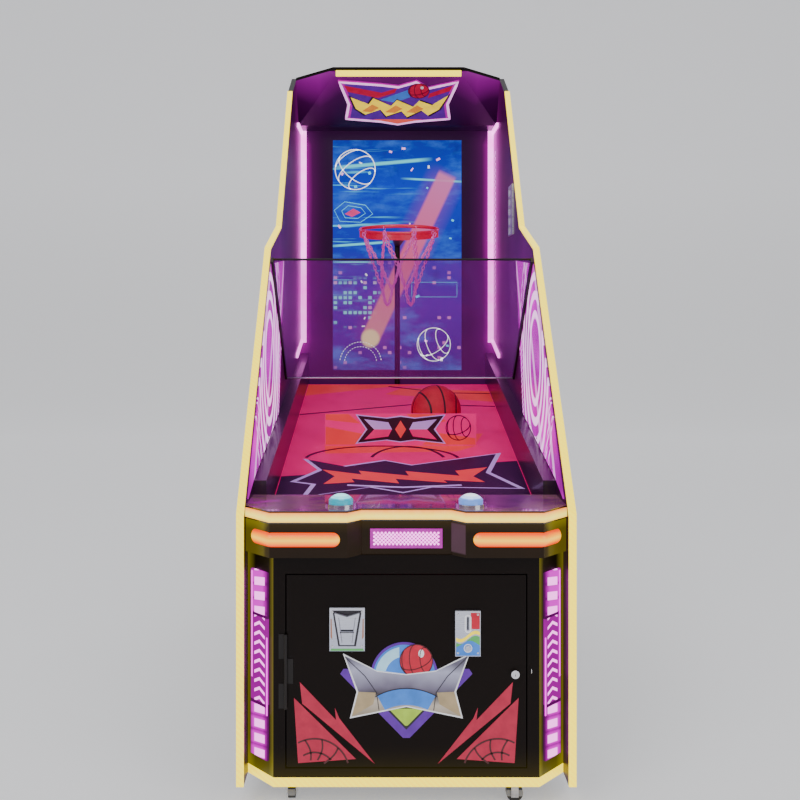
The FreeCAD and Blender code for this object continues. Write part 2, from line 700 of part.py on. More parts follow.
def back_wall():
    board = box("WallBoard", ("-" + INNER, "wall_y", "wall_z"), (INNER, "wall_y + board", ROOF_LOW))
    opening = box(
        "ScreenOpening",
        ("-screen_half", "wall_y - 1", "screen_z"), ("screen_half", "wall_y + board + 1", "screen_top"),
    )
    node(cut("BackWall", board, opening), "back_wall")
    casing = box(
        "DisplayCasing", ("-screen_half", "wall_y", "screen_z"),
        ("screen_half", "wall_y + screen_deep", "screen_top"),
    )
    inside = box(
        "DisplayInside",
        ("-screen_half + screen_wall", "wall_y + screen_glass", "screen_z + screen_wall"),
        ("screen_half - screen_wall", "wall_y + screen_deep + 1", "screen_top - screen_wall"),
    )
    node(cut("Display", casing, inside), "display")


def corner_light(word, side):
    """An upright lamp in the corner with an arm along the side wall at each end."""
    wide = ("%s(%s - strip_wide)" % (side, INNER), "%s%s" % (side, INNER))
    thin = ("%s(%s - strip_thick)" % (side, INNER), "%s%s" % (side, INNER))
    if side == "-":
        wide, thin = wide[::-1], thin[::-1]
    upright = box(
        "CornerUpright" + word,
        (wide[0], "wall_y - strip_thick", "strip_z"), (wide[1], "wall_y", "strip_top"),
    )
    top = [
        ("arm_top_y", "strip_top - arm_wide"), ("wall_y", "strip_top - arm_wide"),
        ("wall_y", "strip_top"), ("arm_top_y", "strip_top"),
    ]
    low = [
        ("arm_low_y", "strip_z - arm_drop"), ("wall_y", "strip_z"), ("wall_y", "strip_z + arm_wide"),
        ("arm_low_y", "strip_z - arm_drop + arm_wide"),
    ]
    arms = [side_prism("CornerArm%s%d" % (word, n), points, *thin) for n, points in enumerate((top, low))]
    return fuse("CornerLight" + word, upright, *arms)


def corner_lights():
    lamps = corner_light("Left", "-"), corner_light("Right", "+")
    node(group("CornerLights", *lamps), "corner_lights")


def louvre():
    """A louvred vent on the right wall: a frame with slots between its slats."""
    low_x = INNER + " - louvre_thick"
    panel = box(
        "LouvrePanel", (low_x, "louvre_y", "louvre_z"),
        (INNER, "louvre_y + louvre_long", "louvre_z + louvre_high"),
    )
    slots = []
    for n in range(5):
        low = "louvre_z + louvre_edge + %d * (louvre_high - louvre_edge) / 5" % n
        slots.append(box(
            "LouvreSlot%d" % n, (low_x + " - 1", "louvre_y + louvre_edge", low),
            (INNER + " - louvre_back", "louvre_y + louvre_long - louvre_edge",
             "%s + (louvre_high - louvre_edge) / 5 - louvre_slat" % low),
        ))
    node(cut("Louvre", panel, *slots), "wall_louvre")


def header():
    """The hood over the screen: a slanting box whose front corners are cut off."""
    front = "header_y + header_bar"
    low_front = "%s - header_bar_high" % ROOF_LOW
    points = [
        (front, low_front), ("header_low_y", "header_low_z"), ("wall_y", "header_low_z"),
        ("wall_y", ROOF_LOW), (front, ROOF_LOW),
    ]
    block = side_prism("HeaderBlock", points, "-" + INNER, INNER)
    hollow = [
        ("%s + hood_front" % front, "%s - hood_roof" % ROOF_LOW),
        ("header_low_y + hood_rear", "header_low_z + header_wall + hood_lift"),
        ("wall_y + 1", "header_low_z + header_wall + hood_lift"),
        ("wall_y + 1", "%s - hood_roof" % ROOF_LOW),
    ]
    inside = side_prism("HeaderHollow", hollow, "-header_half + hood_side", "header_half - hood_side")
    corners = [
        FreeCAD.Vector(size("header_half"), size(front), size(low_front)),
        FreeCAD.Vector(size(INNER), size("%s + %s - header_half" % (front, INNER)), size(low_front)),
        FreeCAD.Vector(size(INNER), size("header_low_y"), size("header_low_z")),
    ]
    outward = (corners[2] - corners[0]).cross(corners[1] - corners[0]).normalize()
    reach = size("depth")
    tools = []
    for side in (1, -1):
        normal = FreeCAD.Vector(outward.x * side, outward.y, outward.z)
        corner = FreeCAD.Vector(corners[0].x * side, corners[0].y - size(MID), corners[0].z)
        turn = FreeCAD.Rotation(FreeCAD.Vector(0, 0, 1), normal)
        tool = doc.addObject("Part::Box", "HeaderCorner%s" % ("Right" if side == 1 else "Left"))
        tool.Length = tool.Width = tool.Height = reach
        shift = turn.multVec(FreeCAD.Vector(-reach / 2, -reach / 2, 0))
        tool.Placement = FreeCAD.Placement(corner + shift, turn)
        tools.append(tool)
    node(cut("Header", block, inside, *tools), "header")


def roof():
    points = mirrored(
        [("header_half", "header_y"), (INNER, "header_y + %s - header_half" % INNER), (INNER, REAR)]
    )
    node(plan_prism("Roof", points, ROOF_LOW, "top_z"), "roof")
    node(
        box("HeaderBar", ("-header_bar_half", "header_y", "%s - header_bar_high" % ROOF_LOW),
            ("header_bar_half", "header_y + header_bar", ROOF_LOW)),
        "header_bar",
    )


def header_sign():
    """A cut-out emblem board lying on the header's slanting face."""
    front_y = "header_y + header_bar"
    low_front = "%s - header_bar_high" % ROOF_LOW
    run = size("header_low_y - (%s)" % front_y)
    drop = size("(%s) - header_low_z" % low_front)
    length = (run ** 2 + drop ** 2) ** 0.5
    half = size("sign_half")
    top, low = 0.06 * length, 0.94 * length
    shape = [
        (half, top), (half * 0.5, top + 0.13 * length), (half * 0.3, top), (0, top + 0.1 * length),
        (-half * 0.3, top + 0.06 * length), (-half, top), (-half * 0.86, top + 0.45 * length),
        (-half * 0.92, low - 0.12 * length), (-half * 0.3, low - 0.06 * length), (0, low),
        (half * 0.3, low - 0.06 * length), (half * 0.92, low - 0.12 * length),
        (half * 0.86, top + 0.45 * length),
    ]
    wire = Part.makePolygon([FreeCAD.Vector(x, y, 0) for x, y in shape + shape[:1]])
    board = Part.Face(wire).extrude(FreeCAD.Vector(0, 0, -size("sign_thick")))
    sign = doc.addObject("Part::Feature", "HeaderSign")
    sign.Shape = board
    along = FreeCAD.Vector(0, run, -drop)
    turn = FreeCAD.Rotation(FreeCAD.Vector(0, 1, 0), along)
    sign.Placement = FreeCAD.Placement(
        FreeCAD.Vector(0, size("(%s) - %s" % (front_y, MID)), size(low_front)), turn
    )
    node(sign, "header_sign")


def hoop():
    torus = doc.addObject("Part::Torus", "RingRod")
    torus.setExpression("Radius1", cells("ring_radius"))
    torus.setExpression("Radius2", cells("ring_rod"))
    place(torus, "0", "ring_y", "ring_z")
    outer = rod(
        "BandOuter", "ring_radius + band_thick / 2", "band_high - ring_rod",
        ("0", "ring_y", "ring_z + ring_rod - band_high"),
    )
    inner = rod(
        "BandInner", "ring_radius - band_thick / 2", "band_high + 2",
        ("0", "ring_y", "ring_z + ring_rod - band_high - 1"),
    )
    front_half = box(
        "BandFront",
        ("-ring_radius - 20", "ring_y - ring_radius - 20", "ring_z - band_high - 20"),
        ("ring_radius + 20", "ring_y", "ring_z + 20"),
    )
    band = cut("RingBand", outer, inner, front_half)
    node(fuse("Ring", torus, band), "ring")
    low = "ring_z + ring_rod - band_high"
    points = mirrored([
        ("arm_near / 2", "ring_y + ring_radius"), ("post_radius", "post_y - post_radius"),
        ("post_radius", "post_y"),
    ])
    bar = plan_prism("HoopArmBar", points, low, "%s + arm_high" % low)
    room = rod("ArmRoom", "ring_radius + band_thick / 2", "100", ("0", "ring_y", "%s - 20" % low))
    post_room = rod("ArmPostRoom", "post_radius", "100", ("0", "post_y", "%s - 20" % low))
    bracket = cut("HoopArm", bar, room, post_room)
    foot = "guide_z + guide_pitch + carriage_margin"
    post = rod("HoopPost", "post_radius", "%s + arm_high - (%s)" % (low, foot), ("0", "post_y", foot))
    node(fuse("HoopPostWithArm", post, bracket), "hoop_post")
    shell = doc.addObject("Part::Cone", "NetOuter")
    shell.setExpression("Radius1", cells("net_low"))
    shell.setExpression("Radius2", cells("ring_radius + band_thick / 2 - 1"))
    shell.setExpression("Height", cells("net_high"))
    place(shell, "0", "ring_y", "%s - net_high" % low)
    core = doc.addObject("Part::Cone", "NetInner")
    core.setExpression("Radius1", cells("net_low - net_thick"))
    core.setExpression("Radius2", cells("ring_radius + band_thick / 2 - 1 - net_thick"))
    core.setExpression("Height", cells("net_high"))
    place(core, "0", "ring_y", "%s - net_high" % low)
    node(cut("ChainNet", shell, core), "chain_net")


def hoop_slide():
    spots = ("guide_z", "guide_z + guide_pitch")
    guides = [
        rod("Guide%d" % n, "guide_radius", "2 * %s" % INNER, ("-" + INNER, "post_y", z), ALONG_X)
        for n, z in enumerate(spots)
    ]
    node(group("HoopGuides", *guides), "hoop_guides")
    block = box(
        "CarriageBlock",
        ("-carriage_half", "post_y - carriage_deep / 2", "guide_z - carriage_margin"),
        ("carriage_half", "post_y + carriage_deep / 2", "guide_z + guide_pitch + carriage_margin"),
    )
    bores = [
        rod("GuideBore%d" % n, "guide_radius + guide_fit", "2 * carriage_half + 2",
            ("-carriage_half - 1", "post_y", z), ALONG_X)
        for n, z in enumerate(spots)
    ]
    node(cut("Carriage", block, *bores), "hoop_carriage")


def ball():
    """The ball rests on the mat behind the closed gate."""
    y = "(gate_y + gate_thick + touch_gap + ball_radius)"
    lift = "((ball_radius + touch_gap) * sqrt(1 + %s ^ 2))" % SLOPE
    node(ball_shape("Ball", "ball_radius", ("ball_x", y, "%s + %s" % (mat_z(y), lift))), "ball")


def caster_spots():
    return [
        ("front_left", "-caster_x", "caster_y", 0), ("front_right", "caster_x", "caster_y", 90),
        ("rear_left", "-caster_x", "caster_rear_y", 0), ("rear_right", "caster_x", "caster_rear_y", 0),
    ]


def caster(word, x, y, quarter):
    """A fork and wheel that trail behind the stem, turned by a quarter where asked."""
    name = "Caster_" + word
    plate_low = "base_z - caster_plate"
    half = "(wheel_wide / 2 + fork_gap)"
    spans = [("-%s - fork_wall" % half, "-%s" % half), (half, "%s + fork_wall" % half)]
    crown_z = "2 * wheel_radius + crown_gap"
    walls = []

    def at(words_x, words_y):
        """A point given in the caster's own axes, about its stem."""
        if quarter == 0:
            return "(%s) + (%s)" % (x, words_x), "(%s) + (%s)" % (y, words_y)
        return "(%s) - (%s)" % (x, words_y), "(%s) + (%s)" % (y, words_x)

    def block(tag, low_x, high_x, low_y, high_y, low_z, high_z):
        first, second = at(low_x, low_y), at(high_x, high_y)
        if quarter == 0:
            return box(name + tag, first + (low_z,), second + (high_z,))
        return box(name + tag, (second[0], first[1], low_z), (first[0], second[1], high_z))

    for n, (low, high) in enumerate(spans):
        walls.append(block("Wall%d" % n, low, high, "wheel_offset - fork_half",
                           "wheel_offset + fork_half", "wheel_radius - fork_half", crown_z))
    walls.append(block("Crown", spans[0][0], spans[1][1], "-crown_front", "wheel_offset + fork_half",
                       crown_z, crown_z + " + crown"))
    walls.append(rod(name + "Stem", "stem", "base_z - stem_gap - (%s + crown)" % crown_z,
                     (x, y, crown_z + " + crown")))
    turn = ALONG_X if quarter == 0 else ALONG_Y
    axle_start = at("-%s - fork_wall" % half, "wheel_offset")
    walls.append(rod(name + "Axle", "axle", "2 * (%s + fork_wall)" % half,
                     axle_start + ("wheel_radius",), turn))
    fork = fuse(name + "Fork", *walls)
    node(fork, "caster_fork_" + word)
    wheel_start = at("-wheel_wide / 2", "wheel_offset")
    tread = rod(name + "Tread", "wheel_radius", "wheel_wide", wheel_start + ("wheel_radius",), turn)
    bore = rod(name + "Bore", "axle + axle_fit", "wheel_wide", wheel_start + ("wheel_radius",), turn)
    node(cut(name + "Wheel", tread, bore), "caster_wheel_" + word)
    plate = box(
        name + "Plate",
        ("%s - caster_plate_half" % x, "%s - caster_plate_half" % y, plate_low),
        ("%s + caster_plate_half" % x, "%s + caster_plate_half" % y, "base_z"),
    )
    return cut(name + "PlateBored", plate, rod(
        name + "StemHole", "stem + axle_fit", "caster_plate + 2", (x, y, plate_low + " - 1")
    ))


def casters():
    plates = [caster(*spot) for spot in caster_spots()]
    node(group("CasterPlates", *plates), "caster_plates")


def rear_and_inside():
    inlet = (
        ("inlet_x - inlet_wide / 2", "depth - board - inlet_deep", "inlet_z"),
        ("inlet_x + inlet_wide / 2", "depth", "inlet_z + inlet_high"),
    )
    panel = box("RearSheet", ("-" + INNER, REAR, "base_z"), (INNER, "depth", "top_z"))
    node(cut("RearPanel", panel, box("InletHole", *inlet)), "rear_panel")
    sockets = box(
        "InletSocket",
        ("inlet_x - inlet_wide / 2 + inlet_side", "depth - inlet_socket", "inlet_z + inlet_edge"),
        ("inlet_x + inlet_wide / 2 - inlet_side", "depth + 1", "inlet_z + inlet_high - inlet_edge"),
    )
    node(cut("MainsInlet", box("InletBlock", *inlet), sockets), "mains_inlet")
    low = ("coin_x - cash_wide / 2", "cash_y", BASE_TOP)
    high = ("coin_x + cash_wide / 2", "cash_y + cash_deep", BASE_TOP + " + cash_high")
    hollow = box(
        "CashHollow",
        tuple(words + " + cash_wall" for words in low),
        (high[0] + " - cash_wall", high[1] + " - cash_wall", high[2] + " + 1"),
    )
    node(cut("CashBox", box("CashCase", low, high), hollow), "cash_box")


def check_and_write():
    doc.recompute()
    for thing in doc.Objects:
        if "Invalid" in thing.State or "Error" in thing.State:
            raise ValueError("failed: %s %s" % (thing.Name, thing.State))
    for thing in NODES:
        shape = thing.Shape
        if shape.isNull() or not shape.isValid() or not shape.Solids:
            raise ValueError("bad shape: %s" % thing.Label)
    os.makedirs("parts", exist_ok=True)
    for thing in NODES:
        thing.Shape.exportStep("parts/%s.step" % thing.Label)
    whole = Part.makeCompound([thing.Shape for thing in NODES]).BoundBox
    print("%d nodes, box %s" % (len(NODES), whole))


for make in (
    base_board, base_light, side_panels, edge_lights, front_frame, columns, service_door, hinge,
    lock, hasp_ring, card_reader, coin_plate, apron, speaker_grille, deck, buttons, playfield,
    gate_guides, guard, side_windows, back_wall, corner_lights, louvre, header, roof, header_sign,
    hoop, hoop_slide, ball, casters, rear_and_inside,
):
    make()
check_and_write()
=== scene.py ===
import math

import bpy
import numpy as np
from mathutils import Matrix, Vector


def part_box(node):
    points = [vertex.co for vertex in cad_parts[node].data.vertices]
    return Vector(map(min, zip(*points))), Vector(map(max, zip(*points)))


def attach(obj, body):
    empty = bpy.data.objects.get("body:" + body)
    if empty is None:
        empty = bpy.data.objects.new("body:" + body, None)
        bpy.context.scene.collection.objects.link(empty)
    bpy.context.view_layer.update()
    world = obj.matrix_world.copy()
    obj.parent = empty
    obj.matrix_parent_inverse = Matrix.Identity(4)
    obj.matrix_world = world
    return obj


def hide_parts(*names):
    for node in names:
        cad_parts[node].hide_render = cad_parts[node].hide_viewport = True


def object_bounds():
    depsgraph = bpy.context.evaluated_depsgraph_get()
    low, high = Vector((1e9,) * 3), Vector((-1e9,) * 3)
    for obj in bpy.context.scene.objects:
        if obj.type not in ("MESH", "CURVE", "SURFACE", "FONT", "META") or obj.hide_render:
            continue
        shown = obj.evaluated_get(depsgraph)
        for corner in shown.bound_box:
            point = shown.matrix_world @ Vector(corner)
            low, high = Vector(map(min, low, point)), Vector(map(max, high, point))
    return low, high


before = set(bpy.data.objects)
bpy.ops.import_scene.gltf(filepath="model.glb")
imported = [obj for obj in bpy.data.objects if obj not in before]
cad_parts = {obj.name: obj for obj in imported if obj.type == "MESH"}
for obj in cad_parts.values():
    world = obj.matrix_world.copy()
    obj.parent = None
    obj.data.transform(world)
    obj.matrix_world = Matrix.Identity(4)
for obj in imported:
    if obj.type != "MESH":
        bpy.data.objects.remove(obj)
cad_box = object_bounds()


def box(name):
    """The low and high corners of a CAD node, in metres."""
    return np.array([tuple(corner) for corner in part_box(name)], float)


# Places read from the frame.
DOOR = box("service_door")
SCREEN = box("display")
MAT = box("play_mat")
GATE = box("ball_gate")
BALL = box("ball")
RING = box("ring")
GRILLE = box("speaker_grille")
CARD = box("card_reader")
COIN = box("coin_plate")
WALL = box("back_wall")
HEADER = box("header")
SIGN = box("header_sign")
GUARD = box("guard")
WINDOWS = box("side_windows")
RAILS = box("side_rails")
TUBES = box("tube_lights")
DECK = box("deck")
MM = 0.001
SIDES = (("left", -1), ("right", 1))


# ---------------------------------------------------------------- shader maths
def operator(operation, flip=False):
    """A method that adds a Math node of that operation, its two values turned round where asked."""
    def method(self, *others):
        values = [self, *others]
        return self.paint.math(operation, *(values[::-1] if flip else values))
    return method


class Num:
    """A number socket that adds Math nodes when it is used in an expression."""

    def __init__(self, paint, socket):
        self.paint = paint
        self.socket = socket

    __add__ = __radd__ = operator("ADD")
    __mul__ = __rmul__ = operator("MULTIPLY")
    __sub__ = operator("SUBTRACT")
    __rsub__ = operator("SUBTRACT", flip=True)
    __truediv__ = operator("DIVIDE")
    __abs__ = operator("ABSOLUTE")
    __mod__ = operator("FLOORED_MODULO")
    __pow__ = operator("POWER")


SOCKETS = {
    "base": "Base Color", "rough": "Roughness", "metal": "Metallic", "shine": "Specular IOR Level",
    "coat": "Coat Weight", "coat_rough": "Coat Roughness", "lit": "Emission Color",
    "glow": "Emission Strength", "alpha": "Alpha",
}


class Paint:
    """One material, its principled shader, and the nodes that feed it."""

    def __init__(self, name, **constants):
        self.material = bpy.data.materials.new(name)
        self.material.use_nodes = True
        self.tree = self.material.node_tree
        self.shader = self.tree.nodes["Principled BSDF"]
        self.finish(**constants)
        place = self.add("ShaderNodeTexCoord")
        self.place = place.outputs["Object"]
        parts = self.add("ShaderNodeSeparateXYZ", Vector=self.place)
        self.x, self.y, self.z = (Num(self, parts.outputs[n]) for n in range(3))

    def set(self, thing, socket, value):
        target = thing.inputs[socket]
        if isinstance(value, Num):
            value = value.socket
        if isinstance(value, bpy.types.NodeSocket):
            self.tree.links.new(value, target)
        elif isinstance(value, tuple) and len(value) == 3 and target.type == "RGBA":
            target.default_value = (*value, 1)
        else:
            target.default_value = value

    def add(self, kind, settings=(), **sockets):
        """A node of that kind, its settings first and then the values or links of its sockets."""
        thing = self.tree.nodes.new(kind)
        for name, value in dict(settings).items():
            setattr(thing, name, value)
        for name, value in sockets.items():
            key = int(name[1:]) if name[0] == "_" and name[1:].isdigit() else name.replace("_", " ")
            self.set(thing, key, value)
        return thing

    def math(self, operation, *values, clamp=False):
        sockets = {"_%d" % n: value for n, value in enumerate(values)}
        thing = self.add("ShaderNodeMath", {"operation": operation, "use_clamp": clamp}, **sockets)
        return Num(self, thing.outputs[0])

    def clamp(self, value):
        return self.math("MULTIPLY", value, 1.0, clamp=True)

    def below(self, value, edge, soft=0.0005):
        """1 where value is under edge, 0 above it, with a soft step between."""
        return self.clamp((edge - value) / soft + 0.5)

    def band(self, value, low, high, soft=0.0005):
        return self.below(value, high, soft) * (1 - self.below(value, low, soft))

    def near(self, value, spot, reach):
        """Falls from 1 at the spot to 0 a reach away."""
        return self.clamp(1 - abs(value - spot) / reach)

    def noise(self, scale, detail=3.0, rough=0.5, stretch=(1, 1, 1)):
        spot = self.add("ShaderNodeMapping", Vector=self.place, Scale=stretch)
        thing = self.add(
            "ShaderNodeTexNoise", Vector=spot.outputs[0], Scale=scale, Detail=detail, Roughness=rough
        )
        return Num(self, thing.outputs["Fac"])

    def cells(self, scale, stretch=(1, 1, 1)):
        spot = self.add("ShaderNodeMapping", Vector=self.place, Scale=stretch)
        thing = self.add("ShaderNodeTexVoronoi", Vector=spot.outputs[0], Scale=scale)
        return Num(self, thing.outputs["Distance"])

    def blend(self, factor, first, second):
        """The first colour where factor is 0 and the second where it is 1."""
        thing = self.add("ShaderNodeMix", {"data_type": "RGBA"}, Factor=factor, _6=first, _7=second)
        return thing.outputs[2]

    def ramp(self, factor, stops):
        thing = self.add("ShaderNodeValToRGB", Fac=factor)
        marks = thing.color_ramp.elements
        while len(marks) < len(stops):
            marks.new(0.5)
        for mark, (spot, colour) in zip(marks, stops):
            mark.position = spot
            mark.color = (*colour, 1)
        return thing.outputs[0]

    def bump(self, height, depth, strength=1.0):
        thing = self.add("ShaderNodeBump", Height=height, Distance=depth, Strength=strength)
        self.set(self.shader, "Normal", thing.outputs[0])

    def finish(self, **sockets):
        """Values and links on the shader, by the short names in SOCKETS."""
        for name, value in sockets.items():
            self.set(self.shader, SOCKETS[name], value)
        return self.material


# ---------------------------------------------------------------- materials
def worn(paint, light, dark):
    """Fine grain, broad cloud, and two close shades mixed by both."""
    grain = paint.noise(220, 6, 0.6)
    cloud = paint.noise(3, 2)
    shade = paint.blend(paint.clamp(grain * 0.7 + cloud * 0.5 - 0.1), dark, light)
    return grain, cloud, shade


def black_laminate():
    """Semi-gloss black board whose lit edges pick up a faint warm cast."""
    p = Paint("black_laminate", shine=0.14)
    grain, cloud, shade = worn(p, (0.009, 0.004, 0.0025), (0.0025, 0.001, 0.0008))
    p.bump(grain, 0.00025, 0.5)
    low = p.clamp((0.17 - p.z) / 0.11)
    warm = low * low * p.band(p.y, -0.9, -0.78, 0.02)
    lit = p.blend(warm, (0, 0, 0), (0.10, 0.075, 0.002))
    return p.finish(base=shade, rough=0.3 + cloud * 0.14, lit=lit, glow=0.5)


def rear_laminate():
    """Black board with a seam round its lift-off panel and two banks of vent slots pressed into it."""
    p = Paint("rear_laminate", shine=0.35)
    grain, cloud, shade = worn(p, (0.010, 0.008, 0.008), (0.003, 0.002, 0.002))
    outside = 1 - p.below(p.y, float(cad_box[1][1]) - 0.001, 0.0005)
    half, low, high, seam, soft = 0.30, 0.90, 1.95, 0.003, 0.0008
    inside = p.below(abs(p.x), half, soft) * p.band(p.z, low, high, soft)
    wider = p.below(abs(p.x), half + seam, soft) * p.band(p.z, low - seam, high + seam, soft)
    slot_pitch = 0.028
    rows = p.band(p.z % slot_pitch, 0.008, 0.016, 0.001)
    banks = p.clamp(p.band(p.z, 1.624, 1.820, 0.001) + p.band(p.z, 1.036, 1.176, 0.001))
    slots = rows * banks * p.band(abs(p.x), 0.030, 0.190, 0.002)
    sunk = p.clamp(slots + wider - inside) * outside
    p.bump(grain * 0.05 - sunk, 0.002, 0.8)
    # The seam round the panel is painted almost black as a dark joint; the vent slots are painted almost black as
    # the shade in their hollows.
    return p.finish(base=p.blend(sunk, shade, (0.0005, 0.0005, 0.0005)), rough=0.36 + cloud * 0.14)


def column_laminate():
    """The corner columns, washed by the strips beside them in olive yellow."""
    p = Paint("column_laminate", shine=0.3)
    grain, cloud, shade = worn(p, (0.016, 0.014, 0.004), (0.004, 0.003, 0.001))
    outer = p.clamp((abs(p.x) - 0.372) / 0.022)
    inner = p.clamp((0.334 - abs(p.x)) / 0.014)
    wash = p.clamp(outer * 0.65 + inner * 0.75 + p.clamp((0.15 - p.z) / 0.09) * 0.8)
    lit = p.blend(wash, (0.003, 0.002, 0.0), (0.30, 0.25, 0.008))
    p.bump(grain, 0.0002, 0.4)
    return p.finish(base=shade, rough=0.35 + cloud * 0.1, lit=lit, glow=0.8)


def side_board():
    """Black outside, purple gloss inside, glowing near the front edge and the corner lamp."""
    p = Paint("side_board", shine=0.35)
    grain, cloud, shade = worn(p, (0.02, 0.015, 0.018), (0.006, 0.005, 0.006))
    inner_face = 0.3945
    inner = p.below(abs(p.x), inner_face, 0.0004)
    corner = p.near(p.y, float(WALL[0][1]), 0.34)
    high = p.clamp((p.z - 0.75) / 0.5)
    streak = p.noise(2.2, 3, 0.6, (1, 3, 0.5))
    front = p.near(p.y, -0.08, 0.30) * p.band(p.z, 1.0, 1.45, 0.2)
    glow = p.clamp(corner * corner * 0.9 + front * 0.35 + streak * 0.45 - 0.16) * high * inner
    body = p.blend(inner, shade, (0.045, 0.0, 0.045))
    lit = p.ramp(glow, [(0, (0.020, 0.0, 0.018)), (0.4, (0.17, 0.0, 0.14)), (1, (1.0, 0.0, 0.80))])
    p.bump(grain, 0.0002, 0.35)
    return p.finish(base=body, rough=0.3 + cloud * 0.12, glow=0.6,
                    lit=p.blend(inner * p.clamp(high * 8.0), (0, 0, 0), lit))


def back_board():
    """Deep purple gloss, brightest beside the corner lamps and darker round the picture."""
    p = Paint("back_board", shine=0.35)
    cloud = p.noise(2.5, 3)
    side = p.near(abs(p.x), 0.394, 0.12) * p.band(p.z, 1.0, 2.0, 0.2)
    low = p.clamp((1.15 - p.z) / 0.3)
    glow = p.clamp(side * side * 1.1 + low * 0.3 + cloud * 0.2 - 0.08)
    lit = p.ramp(glow, [(0, (0.018, 0.0, 0.026)), (0.45, (0.12, 0.0, 0.11)), (1, (0.90, 0.0, 0.70))])
    p.bump(p.noise(300, 3), 0.0001, 0.3)
    return p.finish(base=(0.018, 0.001, 0.030), rough=0.28 + cloud * 0.1, lit=lit, glow=0.6)


def header_board():
    """Folded purple hood: facets shade from bright at the brow to nearly black at the bottom."""
    p = Paint("header_board", shine=0.35)
    rise = p.clamp((p.z - HEADER[0][2]) / (HEADER[1][2] - HEADER[0][2]))
    facet = p.near(abs(p.x), 0.30, 0.11)
    cloud = p.noise(4, 3)
    glow = p.clamp(rise * 0.85 + facet * 0.25 + cloud * 0.2 - 0.2)
    lit = p.ramp(glow, [(0, (0.003, 0.0, 0.006)), (0.45, (0.055, 0.0, 0.060)), (1, (0.50, 0.0, 0.46))])
    p.bump(p.noise(260, 3), 0.0001, 0.3)
    return p.finish(base=(0.014, 0.001, 0.025), rough=0.28 + cloud * 0.1, lit=lit, glow=0.6)


def strip_light():
    """Opal strip: even warm white with faint segments, one for each diode."""
    p = Paint("strip_light", base=(0.35, 0.25, 0.02), rough=0.35)
    step = p.math("SINE", (p.z + p.y * 0.7 + p.x) * 420.0)
    lit = p.blend(p.clamp(step * 0.5 + 0.5), (1.0, 0.70, 0.0), (1.0, 0.82, 0.01))
    return p.finish(lit=lit, glow=2.3)


def deck_strip():
    """Deck strip: white core with golden upper and lower rims."""
    p = Paint("deck_strip", base=(0.35, 0.2, 0.02), rough=0.3)
    low, high = (box("deck_light")[n][2] for n in (0, 1))
    rise = (p.z - low) / (high - low)
    lit = p.ramp(rise, [(0, (1, 0.52, 0.0)), (0.35, (1, 0.85, 0.06)), (0.65, (1, 0.62, 0.01)),
                        (1, (1, 0.22, 0.0))])
    spark = p.noise(70, 2)
    return p.finish(lit=p.blend(spark * 0.2, lit, (1, 0.95, 0.6)), glow=2.0)


def pink_strip():
    """Pink-white lamp with a brighter core along its middle."""
    p = Paint("pink_strip", base=(0.3, 0.08, 0.25), rough=0.3)
    wave = p.noise(25, 2)
    lit = p.blend(p.clamp(wave * 1.6 - 0.4), (1.0, 0.12, 0.80), (1.0, 0.36, 0.92))
    return p.finish(lit=lit, glow=3.6)


def orange_tube():
    """Round lamp: a white-yellow core along its axis, orange either side, red at the rim."""
    p = Paint("orange_tube", base=(0.35, 0.04, 0.0), rough=0.2)
    axis = (TUBES[0][2] + TUBES[1][2]) / 2
    half = (TUBES[1][2] - TUBES[0][2]) / 2
    off = p.clamp(abs(p.z - axis) / half)
    lit = p.ramp(off, [(0, (1, 0.60, 0.03)), (0.30, (1, 0.34, 0.0)), (0.60, (0.9, 0.06, 0.0)),
                       (1, (0.35, 0.003, 0.0))])
    ridge = p.math("SINE", p.x * 1400.0)
    p.bump(ridge, 0.0004, 0.3)
    return p.finish(lit=lit, glow=1.9, coat=0.2)


def powder_black():
    """Powder-coated sheet: orange-peel bump, slightly paler in broad patches."""
    p = Paint("powder_black", shine=0.3)
    colour = (0.008, 0.006, 0.006)
    peel = p.noise(900, 2)
    cloud = p.noise(6, 3)
    pale = tuple(c * 1.9 + 0.004 for c in colour)
    p.bump(peel, 0.00025, 0.6)
    return p.finish(base=p.blend(cloud, colour, pale), rough=0.34 + cloud * 0.15)


def apron_sheet():
    """Dark folded apron, warmed by its lamps and by the strip above."""
    p = Paint("apron_sheet", shine=0.18)
    peel = p.noise(900, 2)
    cloud = p.noise(8, 3)
    outer = p.clamp((abs(p.x) - 0.325) / 0.02)
    top = p.clamp((p.z - 0.68) / 0.03)
    lit = p.ramp(p.clamp(top * 0.45 + outer * 0.65 + cloud * 0.15), [
        (0, (0.008, 0.002, 0.0)), (0.5, (0.05, 0.03, 0.002)), (1, (0.30, 0.25, 0.01))])
    # Painted reflection: the facet right of centre catches purple light from the speaker, so its glow turns
    # purple.
    facet = p.band(p.x, 0.109, 0.141, 0.002) * p.band(p.z, 0.630, 0.700, 0.004)
    lit = p.blend(facet * (0.5 + cloud * 0.5), lit, (0.16, 0.075, 0.12))
    p.bump(peel, 0.00025, 0.5)
    return p.finish(base=(0.010, 0.006, 0.004), rough=0.32 + cloud * 0.12, lit=lit, glow=0.7)


